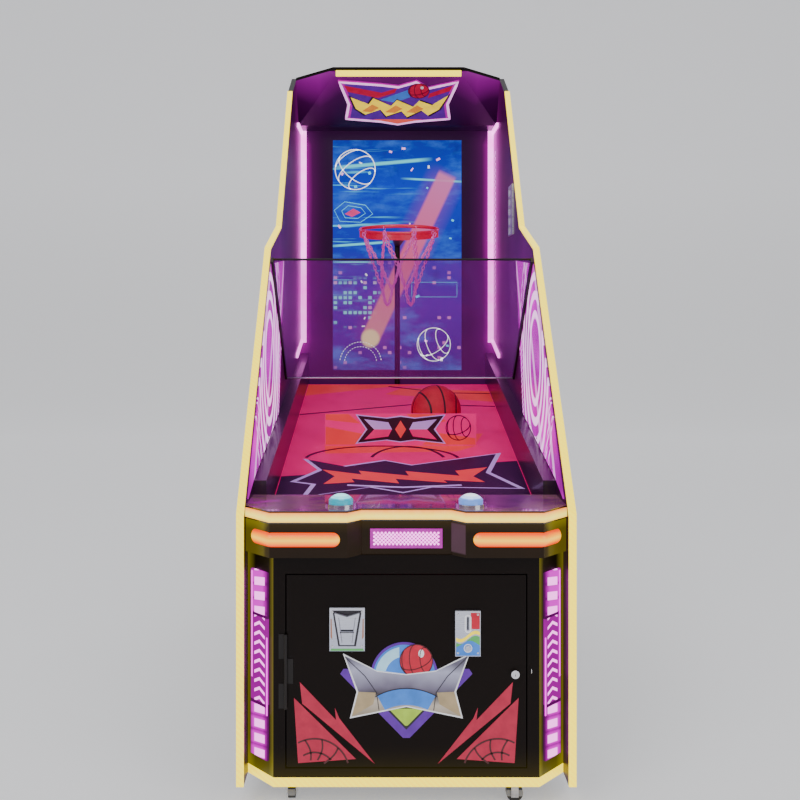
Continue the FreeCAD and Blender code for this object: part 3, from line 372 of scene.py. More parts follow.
def deck_top():
    """Printed deck under clear lacquer: clouds of purple, rose and bronze."""
    p = Paint("deck_top", coat=0.8, coat_rough=0.04)
    cloud = p.noise(9, 4, 0.6, (1, 1.8, 1))
    side = p.clamp((abs(p.x) - 0.16) / 0.2)
    mixed = p.ramp(p.clamp(cloud * 1.5 - 0.35 + side * 0.2), [
        (0, (0.05, 0.008, 0.06)), (0.35, (0.16, 0.02, 0.16)), (0.6, (0.22, 0.10, 0.12)),
        (0.8, (0.40, 0.03, 0.36)), (1, (0.75, 0.10, 0.65))])
    # Painted glow: half the printed colour is given off as light; the edge below stays unlit.
    lit = p.blend(0.5, (0, 0, 0), mixed)
    edge = p.below(p.z, DECK[1][2] - 0.0006, 0.0004)
    return p.finish(base=p.blend(edge, mixed, (0.012, 0.008, 0.01)), rough=0.16 + cloud * 0.14,
                    lit=p.blend(edge, lit, (0, 0, 0)), glow=0.8)


def button_cap(name, core, rim):
    """Clear lit cap: a white heart that falls to the rim's colour."""
    low, high = box(name)
    p = Paint(name + "_cap", base=tuple(c * 0.4 for c in rim), rough=0.1, coat=0.6)
    across = p.x - (low[0] + high[0]) / 2
    along = p.y - (low[1] + high[1]) / 2
    reach = (across * across + along * along) ** 0.5 / 0.030
    ripple = p.math("SINE", reach * 22.0) * 0.08
    edge = tuple(c * 0.5 for c in rim)
    lit = p.ramp(p.clamp(reach + ripple), [(0, core), (0.55, core), (0.85, rim), (1, edge)])
    return p.finish(lit=lit, glow=2.0)


def chrome():
    """Bright plating, faintly cloudy."""
    p = Paint("polished_chrome", metal=1.0)
    cloud = p.noise(120, 3)
    return p.finish(base=p.blend(cloud, (0.62, 0.62, 0.66), (0.86, 0.86, 0.9)), rough=0.10 + cloud * 0.12)


def zinc():
    """Plated steel with the spangle of zinc and fine brushing."""
    p = Paint("zinc_plate", metal=1.0)
    spangle = p.cells(90)
    brush = p.noise(700, 2, 0.5, (1, 1, 0.05))
    p.bump(brush, 0.0001, 0.4)
    return p.finish(base=p.blend(spangle, (0.42, 0.42, 0.45), (0.68, 0.68, 0.70)), rough=0.28 + brush * 0.15)


def satin_silver():
    """Cast plate, pale with a lilac cast, brushed across."""
    p = Paint("satin_silver", metal=0.55)
    brush = p.noise(500, 2, 0.5, (0.04, 1, 1))
    # Painted highlight: the plate turns paler from 0.38 m to 0.50 m up, where light catches it.
    rise = p.clamp((p.z - 0.38) / 0.12)
    p.bump(brush, 0.0001, 0.4)
    tone = p.blend(rise, (0.62, 0.66, 0.82), (0.82, 0.84, 0.93))
    return p.finish(base=p.blend(brush * 0.5, tone, (0.5, 0.5, 0.62)), rough=0.22 + brush * 0.15)


def tinted_clear():
    """Purple-tinted clear sheet that lets the picture show through."""
    p = Paint("tinted_clear", rough=0.04, shine=0.4)
    haze = p.noise(3, 2)
    edge = p.clamp(p.near(p.z, GUARD[1][2], 0.004) * 2)
    colour = p.blend(p.clamp(haze * 1.2), (0.10, 0.004, 0.16), (0.22, 0.01, 0.28))
    # Painted glow: the sheet gives off a faint purple light of its own, brighter where the haze is thicker.
    lit = p.blend(p.clamp(haze * 1.5 - 0.3), (0.05, 0.002, 0.08), (0.16, 0.006, 0.20))
    return p.finish(base=p.blend(edge, colour, (0.02, 0.01, 0.02)), lit=lit, glow=0.8,
                    alpha=p.clamp(0.15 + edge * 0.7 + haze * 0.10))


def window_glow():
    """Edge-lit sheet engraved with nested ovals, dashed across like a woven band."""
    p = Paint("window_glow", rough=0.2)
    low = WINDOWS[0]
    along = (p.y - (low[1] + 0.42)) / 0.30
    up = (p.z - (low[2] + 0.33)) / 0.42
    radius = (along * along + up * up) ** 0.5
    ring = p.clamp(p.math("SINE", radius * 46.0) * 3.0)
    inside = p.band(radius, 0.28, 1.0, 0.03)
    dash = p.clamp(p.math("SINE", (p.z + p.y) * 310.0) * 4.0)
    outer = p.band(radius, 0.78, 1.0, 0.02)
    lines = p.clamp(ring * inside * (1 - outer * (1 - dash)))
    sweep = p.clamp(p.math("SINE", (p.z * 0.8 - p.y * 1.4) * 26.0) * 6.0 - 4.6)
    cloud = p.noise(5, 3)
    field = p.ramp(cloud, [(0.25, (0.10, 0.0, 0.10)), (0.6, (0.42, 0.0, 0.38)), (0.85, (0.90, 0.0, 0.72))])
    lit = p.blend(p.clamp(lines + sweep * 0.5), field, (1.0, 0.50, 0.98))
    p.bump(lines, 0.0006, 0.5)
    return p.finish(base=(0.10, 0.0, 0.12), lit=lit, glow=1.9)


def mat_print(name, colour, dark, glow):
    """Printed rubber: fine weave in the bump, ink slightly uneven."""
    p = Paint(name, shine=0.35)
    weave = p.math("SINE", p.x * 3800.0) * p.math("SINE", p.y * 3800.0)
    cloud = p.noise(14, 4)
    tone = p.blend(p.clamp(cloud * 1.4 - 0.2), dark, colour)
    p.bump(weave, 0.00015, 0.4)
    # Painted glow: the ink is given off again as light, so the mat looks lit under any lamp.
    return p.finish(base=tone, rough=0.42 + cloud * 0.15, lit=tone, glow=glow)


def ink(name, colour, glow=0.0):
    """Printed film: the colour varies a little with the press and the gloss with it."""
    p = Paint(name, coat=0.15)
    cloud = p.noise(35, 4)
    fine = p.noise(700, 2)
    spread = 0.12
    dark = tuple(c * (1 - 2.2 * spread) for c in colour)
    pale = tuple(min(1, c * (1 + spread) + 0.01) for c in colour)
    tone = p.blend(p.clamp(cloud * 1.5 - 0.25), dark, pale)
    p.bump(fine, 0.00008, 0.3)
    # Painted glow: the printed colour is given off again as light, so the film looks lit under any lamp; on the
    # screen it stands for the screen's own light.
    return p.finish(base=tone, rough=0.32 + cloud * 0.1, lit=tone, glow=glow)


def wing_silver():
    """Printed chrome: sky-bright at the top, a dark horizon, then warm grey below it."""
    p = Paint("wing_silver", coat=0.3)
    cloud = p.noise(12, 3)
    level = p.clamp((p.z - 0.235 + (cloud - 0.5) * 0.05 + abs(p.x) * 0.10) / 0.145)
    tone = p.ramp(level, [(0, (0.30, 0.24, 0.17)), (0.28, (0.55, 0.48, 0.40)), (0.42, (0.05, 0.04, 0.06)),
                          (0.52, (0.16, 0.14, 0.22)), (0.80, (0.42, 0.42, 0.58)), (1, (0.12, 0.11, 0.17))])
    p.bump(p.noise(700, 2), 0.00008, 0.3)
    # Painted glow: the print gives off its own colour as light at a quarter strength.
    return p.finish(base=tone, rough=0.25 + cloud * 0.1, lit=tone, glow=0.25)


def picture():
    """The lit picture: blue over violet, soft shafts of light, lamps of a city and a peach beam."""
    p = Paint("screen_picture", rough=0.12, shine=0.4)
    low, high = SCREEN
    up = p.clamp((p.z - float(low[2])) / float(high[2] - low[2]))
    across = p.clamp((p.x - float(low[0])) / float(high[0] - low[0]))
    sky = p.ramp(up, [(0, (0.050, 0.006, 0.22)), (0.3, (0.065, 0.008, 0.34)), (0.52, (0.012, 0.020, 0.42)),
                      (0.8, (0.002, 0.035, 0.55)), (1, (0.002, 0.020, 0.36))])
    haze = p.noise(6, 5, 0.6, (1, 1, 2.4))
    lit = p.blend(p.clamp(haze * 2.6 - 1.25), sky, (0.04, 0.22, 0.85))
    dark = p.noise(9, 4, 0.6, (1.5, 1, 1))
    lit = p.blend(p.clamp(dark * 3.0 - 1.75), lit, (0.002, 0.006, 0.14))
    ray = p.noise(5, 2, 0.5, (0.9, 1, 16))
    left = p.clamp((0.75 - across) / 0.6)
    lit = p.blend(p.clamp(ray * 7.0 - 4.3) * left * p.band(up, 0.32, 0.97, 0.2), lit, (0.08, 0.70, 0.95))
    for middle, tilt, start, stop, half in ((0.905, 0.05, 0.05, 0.72, 0.010), (0.835, -0.03, 0.58, 1.0, 0.006),
                                            (0.560, 0.04, 0.0, 0.42, 0.007), (0.470, 0.00, 0.02, 0.30, 0.005)):
        core = p.near(up, middle + tilt * (across - 0.5), half)
        lit = p.blend(p.clamp(core * 1.6) * p.band(across, start, stop, 0.12), lit, (0.12, 0.80, 0.92))
    columns, rows = 26.0, 46.0
    column = p.math("FLOOR", across * columns)
    row = p.math("FLOOR", up * rows)
    pick = p.math("FRACT", p.math("SINE", column * 12.99 + row * 78.23) * 437.5)
    gaps = p.band(across * columns % 1.0, 0.15, 0.85, 0.1) * p.band(up * rows % 1.0, 0.2, 0.8, 0.1)
    block = p.below(pick, 0.42, 0.01) * gaps * p.band(up, 0.20, 0.39, 0.04) * p.below(across, 0.36, 0.06)
    lit = p.blend(p.clamp(block), lit, (0.20, 0.75, 0.85))
    few = p.below(pick, 0.05, 0.01) * gaps * p.band(up, 0.02, 0.45, 0.1)
    lit = p.blend(p.clamp(few * 0.8), lit, (0.85, 0.25, 0.70))
    (x0, z0), (x1, z1) = (-0.110, 0.130), (0.205, 0.800)
    reach = math.hypot(x1 - x0, z1 - z0)
    run, rise = (x1 - x0) / reach, (z1 - z0) / reach
    u, v = p.x - x0, p.z - float(low[2] + z0)
    forward = u * run + v * rise
    off = abs(u * rise - v * run)
    shaft = p.below(off, 0.037, 0.010) * p.band(forward, 0.0, reach, 0.02)
    shine = p.ramp(p.clamp(forward / 0.72), [(0, (0.95, 0.34, 0.20)), (0.5, (0.85, 0.12, 0.16)),
                                             (1, (0.80, 0.22, 0.42))])
    lit = p.blend(shaft * 0.9, lit, shine)
    lit = p.blend(p.below(off, 0.062, 0.06) * p.band(forward, -0.02, 0.74, 0.06) * 0.25, lit, (0.5, 0.05, 0.4))
    head = (forward * forward + off * off) ** 0.5
    lit = p.blend(p.below(head, 0.036, 0.012), lit, (1.0, 0.72, 0.34))
    face = p.below(p.y, float(low[1]) + 0.001, 0.0005)
    return p.finish(base=(0.004, 0.004, 0.012), lit=p.blend(face, (0, 0, 0), lit), glow=1.15)


def column_glow():
    """Column lamp: slanted blocks at both ends, arrowheads between, and a thin bar on each side."""
    p = Paint("column_glow", rough=0.25)
    low, high = box("column_lights")
    across = (abs(p.x) - float(high[0]) + 0.050) / 0.050
    up = p.z - float(low[2])
    tall = float(high[2] - low[2])
    slant = up + across * 0.010
    top = 1 - p.below(up, tall - 0.105, 0.0005)
    foot = p.below(up, 0.128, 0.0005)
    pitch = 0.036
    lattice = p.clamp(p.band((slant - tall + 3 * pitch) % pitch, 0.006, 0.026, 0.0015) * top
                      + p.band(slant % pitch, 0.006, 0.026, 0.0015) * foot)
    blocks = lattice * p.band(across, 0.22, 0.80, 0.03)
    fold = up + abs(across - 0.51) * 0.036
    middle = p.band(up, 0.136, tall - 0.112, 0.001)
    arrows = p.band(fold % 0.023, 0.005, 0.0125, 0.001) * middle * p.band(across, 0.22, 0.80, 0.03)
    bars = p.clamp(p.band(across, 0.90, 0.98, 0.015) * p.band(up, 0.19, tall - 0.004, 0.002)
                   + p.band(across, 0.06, 0.14, 0.015) * p.band(up, 0.11, 0.30, 0.002))
    cloud = p.noise(18, 3)
    halo = p.band(across, 0.2, 1.0, 0.3) * p.band(slant % pitch, 0.0, 0.034, 0.012) * p.clamp(top + foot)
    lit = p.blend(p.clamp(halo * 0.55 + cloud * 0.10 + middle * 0.16), (0.004, 0.0, 0.005), (0.62, 0.0, 0.55))
    lit = p.blend(bars, lit, (0.85, 0.01, 0.75))
    lit = p.blend(blocks, lit, (1.0, 0.24, 0.88))
    lit = p.blend(arrows, lit, (1.0, 0.26, 0.86))
    return p.finish(base=(0.02, 0.0, 0.02), lit=lit, glow=3.0)


def ball_skin():
    """Pebbled red rubber with black seams, all measured from the ball's centre."""
    centre = (BALL[0] + BALL[1]) / 2
    p = Paint("ball_skin", shine=0.4)
    x, y, z = (axis - float(spot) for axis, spot in zip((p.x, p.y, p.z), centre))
    radius = float(BALL[1][2] - BALL[0][2]) / 2
    seam = ball_seam(x / radius, y / radius, z / radius, p)
    dark = p.below(seam, 0.035, 0.012)
    pebble = p.cells(330)
    cloud = p.noise(30, 3)
    rubber = p.blend(p.clamp(cloud * 1.4 - 0.2), (0.36, 0.004, 0.018), (0.62, 0.012, 0.04))
    height = p.clamp(1 - pebble * 1.6) * (1 - dark)
    p.bump(height, 0.0009, 0.8)
    # Painted glow: the rubber gives off a little of its own red as light; the seams give off none.
    return p.finish(base=p.blend(dark, rubber, (0.010, 0.003, 0.008)), rough=0.42 + pebble * 0.2,
                    lit=p.blend(dark, rubber, (0, 0, 0)), glow=0.16)


def ball_seam(x, y, z, p=None):
    """Nearness to a seam at a point of the unit ball, on sockets or on whole arrays.

    It is the least of |a|, |b| and the gap between |a| and 0.52 + 0.34 z z, where a and b are x and y turned by
    18 degrees: two great circles and a closed curve on each side.
    """
    turn = math.radians(18)
    a = x * math.cos(turn) + y * math.sin(turn)
    b = y * math.cos(turn) - x * math.sin(turn)
    side = abs(abs(a) - (0.52 + 0.34 * z * z))
    if p:
        return p.math("MINIMUM", p.math("MINIMUM", abs(a), abs(b)), side)
    return np.minimum(np.minimum(abs(a), abs(b)), side)


def chain_steel():
    """Steel links under pink light."""
    p = Paint("chain_steel", metal=0.85)
    cloud = p.noise(240, 3)
    return p.finish(base=p.blend(cloud, (0.42, 0.10, 0.30), (0.80, 0.45, 0.70)), rough=0.25 + cloud * 0.15,
                    lit=(0.40, 0.02, 0.22), glow=0.8)


def ring_paint():
    """Red enamel, rubbed in small spots where balls hit it."""
    p = Paint("ring_paint", coat=0.6, coat_rough=0.1)
    cloud = p.noise(60, 4)
    worn_spots = p.clamp(p.noise(420, 4) * 5 - 3.4)
    colour = p.blend(cloud, (0.55, 0.0, 0.035), (0.80, 0.0, 0.06))
    # Painted glow: the enamel gives off its own red as light at strength 0.3.
    return p.finish(base=p.blend(worn_spots * 0.4, colour, (0.2, 0.02, 0.04)), rough=0.28 + cloud * 0.12,
                    lit=colour, glow=0.30)


def wheel_rubber():
    """Hard tread with a paler hub."""
    p = Paint("wheel_rubber")
    cloud = p.noise(90, 4)
    axle_z, hub_radius = 0.021, 0.008
    hub = p.below(abs(p.z - axle_z), hub_radius, 0.001)
    return p.finish(base=p.blend(hub, p.blend(cloud, (0.012, 0.012, 0.012), (0.04, 0.04, 0.04)),
                                       (0.30, 0.30, 0.32)), rough=0.5 + cloud * 0.2)


def rail_board():
    """Black rails that pick up a painted purple glow in broad patches."""
    p = Paint("rail_board", coat=0.2)
    grain, cloud, shade = worn(p, (0.02, 0.010, 0.016), (0.006, 0.003, 0.006))
    lit = p.blend(p.clamp(cloud * 1.6 - 0.6), (0.004, 0.0, 0.005), (0.05, 0.004, 0.05))
    p.bump(grain, 0.0002, 0.4)
    return p.finish(base=shade, rough=0.28 + cloud * 0.12, lit=lit, glow=0.6)


PAINTS = {
    "black": black_laminate(), "rear": rear_laminate(), "column": column_laminate(), "side": side_board(),
    "back": back_board(), "header": header_board(), "strip": strip_light(), "deck_strip": deck_strip(),
    "pink": pink_strip(), "orange": orange_tube(), "powder": powder_black(), "apron": apron_sheet(),
    "deck": deck_top(), "chrome": chrome(), "zinc": zinc(), "silver": satin_silver(),
    "clear": tinted_clear(), "window": window_glow(), "picture": picture(),
    "column_glow": column_glow(), "ball": ball_skin(), "chain": chain_steel(), "ring": ring_paint(),
    "wheel": wheel_rubber(), "rail": rail_board(), "grey_silver": wing_silver(),
    "mat": mat_print("mat_crimson", (0.78, 0.0, 0.16), (0.52, 0.0, 0.10), 0.55),
    "mat_coral": mat_print("mat_coral", (0.85, 0.06, 0.055), (0.66, 0.025, 0.040), 0.45),
    "gate": mat_print("gate_pink", (0.85, 0.0, 0.20), (0.66, 0.0, 0.14), 0.55),
    "mat_maroon": mat_print("mat_maroon", (0.060, 0.001, 0.025), (0.030, 0.0, 0.014), 0.05),
    "mat_purple": mat_print("mat_purple", (0.045, 0.002, 0.055), (0.020, 0.001, 0.03), 0.2),
    "mat_lilac": mat_print("mat_lilac", (0.62, 0.40, 0.85), (0.48, 0.26, 0.75), 0.3),
    "cap_left": button_cap("button_left", (0.35, 0.95, 1.0), (0.01, 0.40, 0.55)),
    "cap_right": button_cap("button_right", (0.80, 0.92, 1.0), (0.16, 0.35, 0.95)),
}
# Printed films: material name, colour and glow.
INKS = {
    "crimson": ("ink_crimson", (0.50, 0.002, 0.045), 0.30),
    "maroon": ("ink_maroon", (0.09, 0.006, 0.012)),
    "purple": ("ink_purple", (0.11, 0.008, 0.36), 0.35),
    "night": ("ink_night", (0.016, 0.010, 0.022)),
    "lime": ("ink_lime", (0.40, 0.62, 0.04), 0.35),
    "sky": ("ink_sky", (0.04, 0.22, 0.75), 0.4),
    "pale_sky": ("ink_pale_sky", (0.40, 0.72, 0.98), 0.45),
    "white": ("ink_white", (0.85, 0.86, 0.92), 0.35),
    "sand": ("ink_sand", (0.48, 0.36, 0.20), 0.2),
    "ball_red": ("ink_ball_red", (0.60, 0.0, 0.03), 0.35),
    "green": ("ink_green", (0.10, 0.50, 0.12), 0.25),
    "yellow": ("ink_yellow", (0.98, 0.70, 0.0), 1.0),
    "copper": ("ink_copper", (0.50, 0.20, 0.10), 0.1),
    "pink_glow": ("glow_pink", (1.0, 0.45, 0.95), 1.2),
    "white_glow": ("glow_white", (0.85, 0.97, 1.0), 1.3),
    "cyan_glow": ("glow_cyan", (0.10, 0.70, 0.95), 0.95),
    "coral_glow": ("glow_coral", (0.85, 0.10, 0.04), 0.7),
    "rose_glow": ("glow_rose", (0.75, 0.04, 0.22), 0.8),
    "amber": ("ink_amber", (0.80, 0.30, 0.01), 0.6),
    "magenta_glow": ("glow_magenta", (0.40, 0.0, 0.34), 0.8),
}
for name, look in INKS.items():
    PAINTS[name] = ink(*look)


# ---------------------------------------------------------------- mesh makers
def piece(name, points, faces, paint, body="root", smooth=False):
    """A mesh with its place in its points, in the frame's own coordinates, riding on one body."""
    mesh = bpy.data.meshes.new(name)
    mesh.from_pydata(np.asarray(points, float).reshape(-1, 3).tolist(), [], faces)
    mesh.validate()
    mesh.polygons.foreach_set("use_smooth", [smooth] * len(mesh.polygons))
    thing = bpy.data.objects.new(name, mesh)
    bpy.context.scene.collection.objects.link(thing)
    mesh.materials.append(PAINTS[paint])
    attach(thing, body)
    return thing


def quads(rows, columns, start=0, close_rows=True, close_columns=True):
    """Quad faces of a grid of points: point r, c joins r + 1, c and r, c + 1, closing round where asked."""
    r = np.arange(rows if close_rows else rows - 1)
    c = np.arange(columns if close_columns else columns - 1)
    a, b = np.meshgrid(r, c, indexing="ij")
    a, b = a.ravel(), b.ravel()
    a2, b2 = (a + 1) % rows, (b + 1) % columns
    return (np.stack([a * columns + b, a2 * columns + b, a2 * columns + b2, a * columns + b2], 1)
            + start).tolist()


class Sheet:
    """A flat place to lay printed shapes: an origin, two directions in it and its outward normal."""

    def __init__(self, origin, across, up, body="root"):
        self.origin = np.array(origin, float)
        self.across = np.array(across, float)
        self.up = np.array(up, float)
        self.out = np.cross(self.across, self.up)
        self.body = body

    def at(self, flat, lift):
        """Origin plus u across plus v up plus the lift outward, for every flat point u, v at once."""
        flat = np.asarray(flat, float)
        lift = np.broadcast_to(np.asarray(lift, float), flat.shape[:-1])[..., None]
        return self.origin + flat[..., :1] * self.across + flat[..., 1:2] * self.up + lift * self.out

    def shape(self, name, outline, paint, level, step=0.0004):
        """A closed outline in metres, filled: a face at the base and one a step per level above it."""
        flat = np.asarray(outline, float)
        area = np.sum(flat[:, 0] * np.roll(flat[:, 1], -1) - np.roll(flat[:, 0], -1) * flat[:, 1])
        if area < 0:
            flat = flat[::-1]
        n = len(flat)
        points = np.concatenate([self.at(flat, step * level), self.at(flat, 0)])
        faces = [list(range(n)), list(range(2 * n - 1, n - 1, -1))]
        faces += [[n + i, n + (i + 1) % n, (i + 1) % n, i] for i in range(n)]
        return piece(name, points, faces, paint, self.body)

    def stroke(self, name, lines, wide, paint, level, step=0.0004):
        """Bands along lines, each a pair (points, closed): every point is moved half the width to either side,

        square to the mean way of its neighbours, at the base and again a step per level above it.
        """
        points, faces = [], []
        for line, closed in lines:
            line = np.asarray(line, float)
            if closed:
                along = np.roll(line, -1, 0) - np.roll(line, 1, 0)
            else:
                along = np.gradient(line, axis=0)
            along = along / np.linalg.norm(along, axis=1)[:, None]
            side = np.stack([-along[:, 1], along[:, 0]], 1) * wide / 2
            ring = np.stack([
                self.at(line + side, step * level), self.at(line - side, step * level),
                self.at(line - side, 0), self.at(line + side, 0)], 1)
            start = sum(len(p) for p in points)
            n = len(line)
            for face in quads(n, 4, start, closed, True):
                faces.append(face[::-1])
            if not closed:
                faces.append([start, start + 1, start + 2, start + 3])
                faces.append([start + 4 * n - 1, start + 4 * n - 2, start + 4 * n - 3, start + 4 * n - 4])
            points.append(ring.reshape(-1, 3))
        return piece(name, np.concatenate(points), faces, paint, self.body)


def facing(x, y, z, body="root"):
    """A sheet that faces the player, with its origin at that place."""
    return Sheet((x, y, z), (1, 0, 0), (0, 0, 1), body)


def arc(centre, radius, start, stop, n=28, squash=1.0):
    """Centre plus radius times (cos a, squash sin a), for even angles a between two in degrees."""
    angle = np.radians(np.linspace(start, stop, n))
    return np.stack([np.cos(angle) * radius, np.sin(angle) * radius * squash], 1) + np.array(centre)


def disc(centre, radius, n=40, squash=1.0):
    """The whole circle or ellipse, without its first point again at the end."""
    return arc(centre, radius, 0, 360 * (n - 1) / n, n, squash)


def ball_lines(centre, radius, turn=20, tilt=28):
    """A drawn ball: its rim, and the near half of four circles on a unit sphere, turned and seen square on.

    Two are great circles at right angles, and two are the circles where the sphere meets x = +-0.62.
    """
    t = np.linspace(0, 2 * np.pi, 72, endpoint=False)
    still, wave, swing = 0 * t, np.cos(t), np.sin(t)
    small = math.sqrt(1 - 0.62 ** 2)
    a, b = math.radians(turn), math.radians(tilt)
    roll = np.array([[math.cos(a), math.sin(a), 0], [-math.sin(a), math.cos(a), 0], [0, 0, 1]])
    lean = np.array([[1, 0, 0], [0, math.cos(b), math.sin(b)], [0, -math.sin(b), math.cos(b)]])
    yaw = np.array([[math.cos(b), 0, math.sin(b)], [0, 1, 0], [-math.sin(b), 0, math.cos(b)]])
    lines = [(disc(centre, radius, 56), True)]
    for circle in ((still, wave, swing), (wave, still, swing), (still + 0.62, wave * small, swing * small),
                   (still - 0.62, wave * small, swing * small)):
        spots = np.stack(circle, 1) @ yaw @ lean @ roll
        near = spots[:, 2] > 0.02
        start = int(np.argmax(near & ~np.roll(near, 1)))
        run = np.roll(spots, -start, 0)[: int(near.sum())]
        lines.append((run[:, :2] * radius * 0.99 + centre, False))
    return lines


def in_mm(points):
    """Flat points given in millimetres, in metres."""
    return np.array(points, float) * MM


def copies(faces, count, points_each):
    """The faces of one shape, numbered again for every copy of it."""
    faces = np.asarray(faces)
    starts = np.arange(count) * points_each
    return (faces[None] + starts[:, None, None]).reshape(-1, faces.shape[1]).tolist()


def domes(name, face, spots, radius, crown, paint, sides=12, rings=4):
    """Caps on a sheet, all at once: with a lean of a, a ring of radius r cos a stands crown times sin a proud.

    The lean runs from 0 at the foot to a right angle at the top, where one point closes the cap.
    """
    lean = np.arange(rings) / rings * np.pi / 2
    angle = np.linspace(0, 2 * np.pi, sides, endpoint=False)
    circle = np.stack([np.cos(angle), np.sin(angle)], 1)
    flat = np.concatenate([(radius * np.cos(lean)[:, None, None] * circle).reshape(-1, 2), [[0.0, 0.0]]])
    lift = np.append(np.repeat(crown * np.sin(lean), sides), crown)
    spots = np.asarray(spots, float)
    points = face.at(spots[:, None] + flat, lift)
    i = np.arange(sides)
    crest = (rings - 1) * sides
    skirt = np.array(quads(rings, sides, 0, False, True))[:, ::-1]
    cap = np.stack([crest + i, crest + (i + 1) % sides, 0 * i + rings * sides], 1)
    faces = []
    for part in (skirt, cap, i[None, ::-1]):
        faces += copies(part, len(spots), rings * sides + 1)
    return piece(name, points, faces, paint, face.body, smooth=True)


def sweep_tube(path, radius, sides=8):
    """A round bar along a path: each point plus radius times (cos a first + sin a second).

    First and second are square to the mean way of the point's neighbours and to each other.
    """
    path = np.asarray(path, float)
    along = np.gradient(path, axis=0)
    along = along / np.linalg.norm(along, axis=1)[:, None]
    guide = np.where(np.abs(along[:, 2:]) > 0.9, [[1.0, 0, 0]], [[0, 0, 1.0]])
    first = np.cross(guide, along)
    first = first / np.linalg.norm(first, axis=1)[:, None]
    second = np.cross(along, first)
    angle = np.linspace(0, 2 * np.pi, sides, endpoint=False)
    ring = path[:, None] + radius * (
        np.cos(angle)[None, :, None] * first[:, None] + np.sin(angle)[None, :, None] * second[:, None])
    faces = [f[::-1] for f in quads(len(path), sides, 0, False, True)]
    faces.append(list(range(sides))[::-1])
    faces.append(list(range((len(path) - 1) * sides, len(path) * sides)))
    return ring.reshape(-1, 3), faces


# ---------------------------------------------------------------- finishes on the CAD nodes
NODE_PAINTS = {
    "black": ("base_board", "front_frame", "service_door", "roof", "ramp_board"),
    "rear": ("rear_panel",),
    "column": ("column_left", "column_right"),
    "side": ("side_panel_left", "side_panel_right"),
    "back": ("back_wall",), "header": ("header",), "strip": ("edge_lights", "base_light", "header_bar"),
    "deck_strip": ("deck_light",), "pink": ("corner_lights",), "orange": ("tube_lights",),
    "powder": ("hinge_frame_leaf", "hinge_door_leaf", "guard_clips", "hoop_post", "cash_box",
               "hoop_carriage", "mains_inlet"), "magenta_glow": ("header_sign", "speaker_grille"),
    "apron": ("apron",), "deck": ("deck",), "column_glow": ("column_lights",),
    "chrome": ("lock_body", "lock_core", "button_bezels", "hasp_ring"),
    "zinc": ("hoop_guides", "caster_plates", "gate_guides", "caster_fork_front_left",
             "caster_fork_front_right", "caster_fork_rear_left", "caster_fork_rear_right"),
    "silver": ("card_reader", "coin_plate", "coin_return_button", "wall_louvre"),
    "clear": ("guard",), "window": ("side_windows",), "picture": ("display",),
    "ring": ("ring",), "rail": ("side_rails",), "mat": ("play_mat",), "gate": ("ball_gate",),
    "cap_left": ("button_left",), "cap_right": ("button_right",),
    "wheel": ("caster_wheel_front_left", "caster_wheel_front_right", "caster_wheel_rear_left",
              "caster_wheel_rear_right"),
}
for paint, names in NODE_PAINTS.items():
    for name in names:
        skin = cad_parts[name]
        if not skin.material_slots:
            skin.data.materials.append(PAINTS[paint])
        for place in skin.material_slots:
            place.material = PAINTS[paint]


# ---------------------------------------------------------------- service door art
def door_emblem():
    """Shield, dome, ball and ribbon laid over each other on the door."""
    face = facing(0, DOOR[0][1], 0, "door")
    shield = in_mm([(-160, 334), (-152, 346), (152, 346), (160, 334), (8, 179), (-8, 179)])
    face.shape("emblem_shield", shield, "purple", 1)
    face.shape("emblem_shield_inset", in_mm([(-128, 330), (128, 330), (0, 199)]), "night", 2)
    face.shape("emblem_wedge", in_mm([(-40, 247), (-34, 250), (34, 250), (40, 247), (3, 209), (-3, 209)]),
               "lime", 3)
    centre = (-5 * MM, 330 * MM)
    face.shape("emblem_dome_edge", arc(centre, 0.081, 0, 180), "purple", 3)
    face.shape("emblem_dome", arc(centre, 0.075, 0, 180), "sky", 4)
    shine = np.concatenate([arc(centre, 0.070, 100, 172, 14), arc(centre, 0.046, 165, 105, 12)])
    face.shape("emblem_dome_shine", shine, "pale_sky", 5)
    ball = (24 * MM, 366 * MM)
    face.shape("emblem_ball", disc(ball, 0.040), "ball_red", 6)
    face.stroke("emblem_ball_seams", ball_lines(ball, 0.0395), 0.0022, "maroon", 7)
    face.shape("emblem_ball_shine", disc((0.036, 0.384), 0.007, 20, 1.4), "white", 7)
    half = [(0, 258), (62, 246), (132, 232), (116, 292), (148, 378), (70, 340), (0, 332)]
    ribbon = half + [(-x, z) for x, z in half[-2:0:-1]]
    grown = [(x * 1.035, 300 + (z - 300) * 1.07) for x, z in ribbon]
    face.shape("emblem_ribbon_edge", in_mm(grown), "white", 8)
    face.shape("emblem_ribbon", in_mm(ribbon), "grey_silver", 9)
    for word, side in SIDES:
        fold = in_mm([(side * 132, 232), (side * 116, 292), (side * 74, 290), (side * 80, 262)])
        face.shape("emblem_fold_" + word, fold, "sand", 10)
        face.stroke("emblem_crease_" + word,
                    [(in_mm([(side * 148, 376), (side * 100, 330), (side * 72, 290), (side * 66, 247)]), False)],
                    0.0016, "night", 11)
    band = np.concatenate([arc((0, 0.150), 0.150, 62, 118, 24), arc((0, 0.142), 0.118, 116, 64, 24)])
    face.shape("emblem_band", band, "sky", 10)
    face.stroke("emblem_band_edge", [(arc((0, 0.150), 0.150, 60, 120, 24), False)], 0.002, "night", 11)


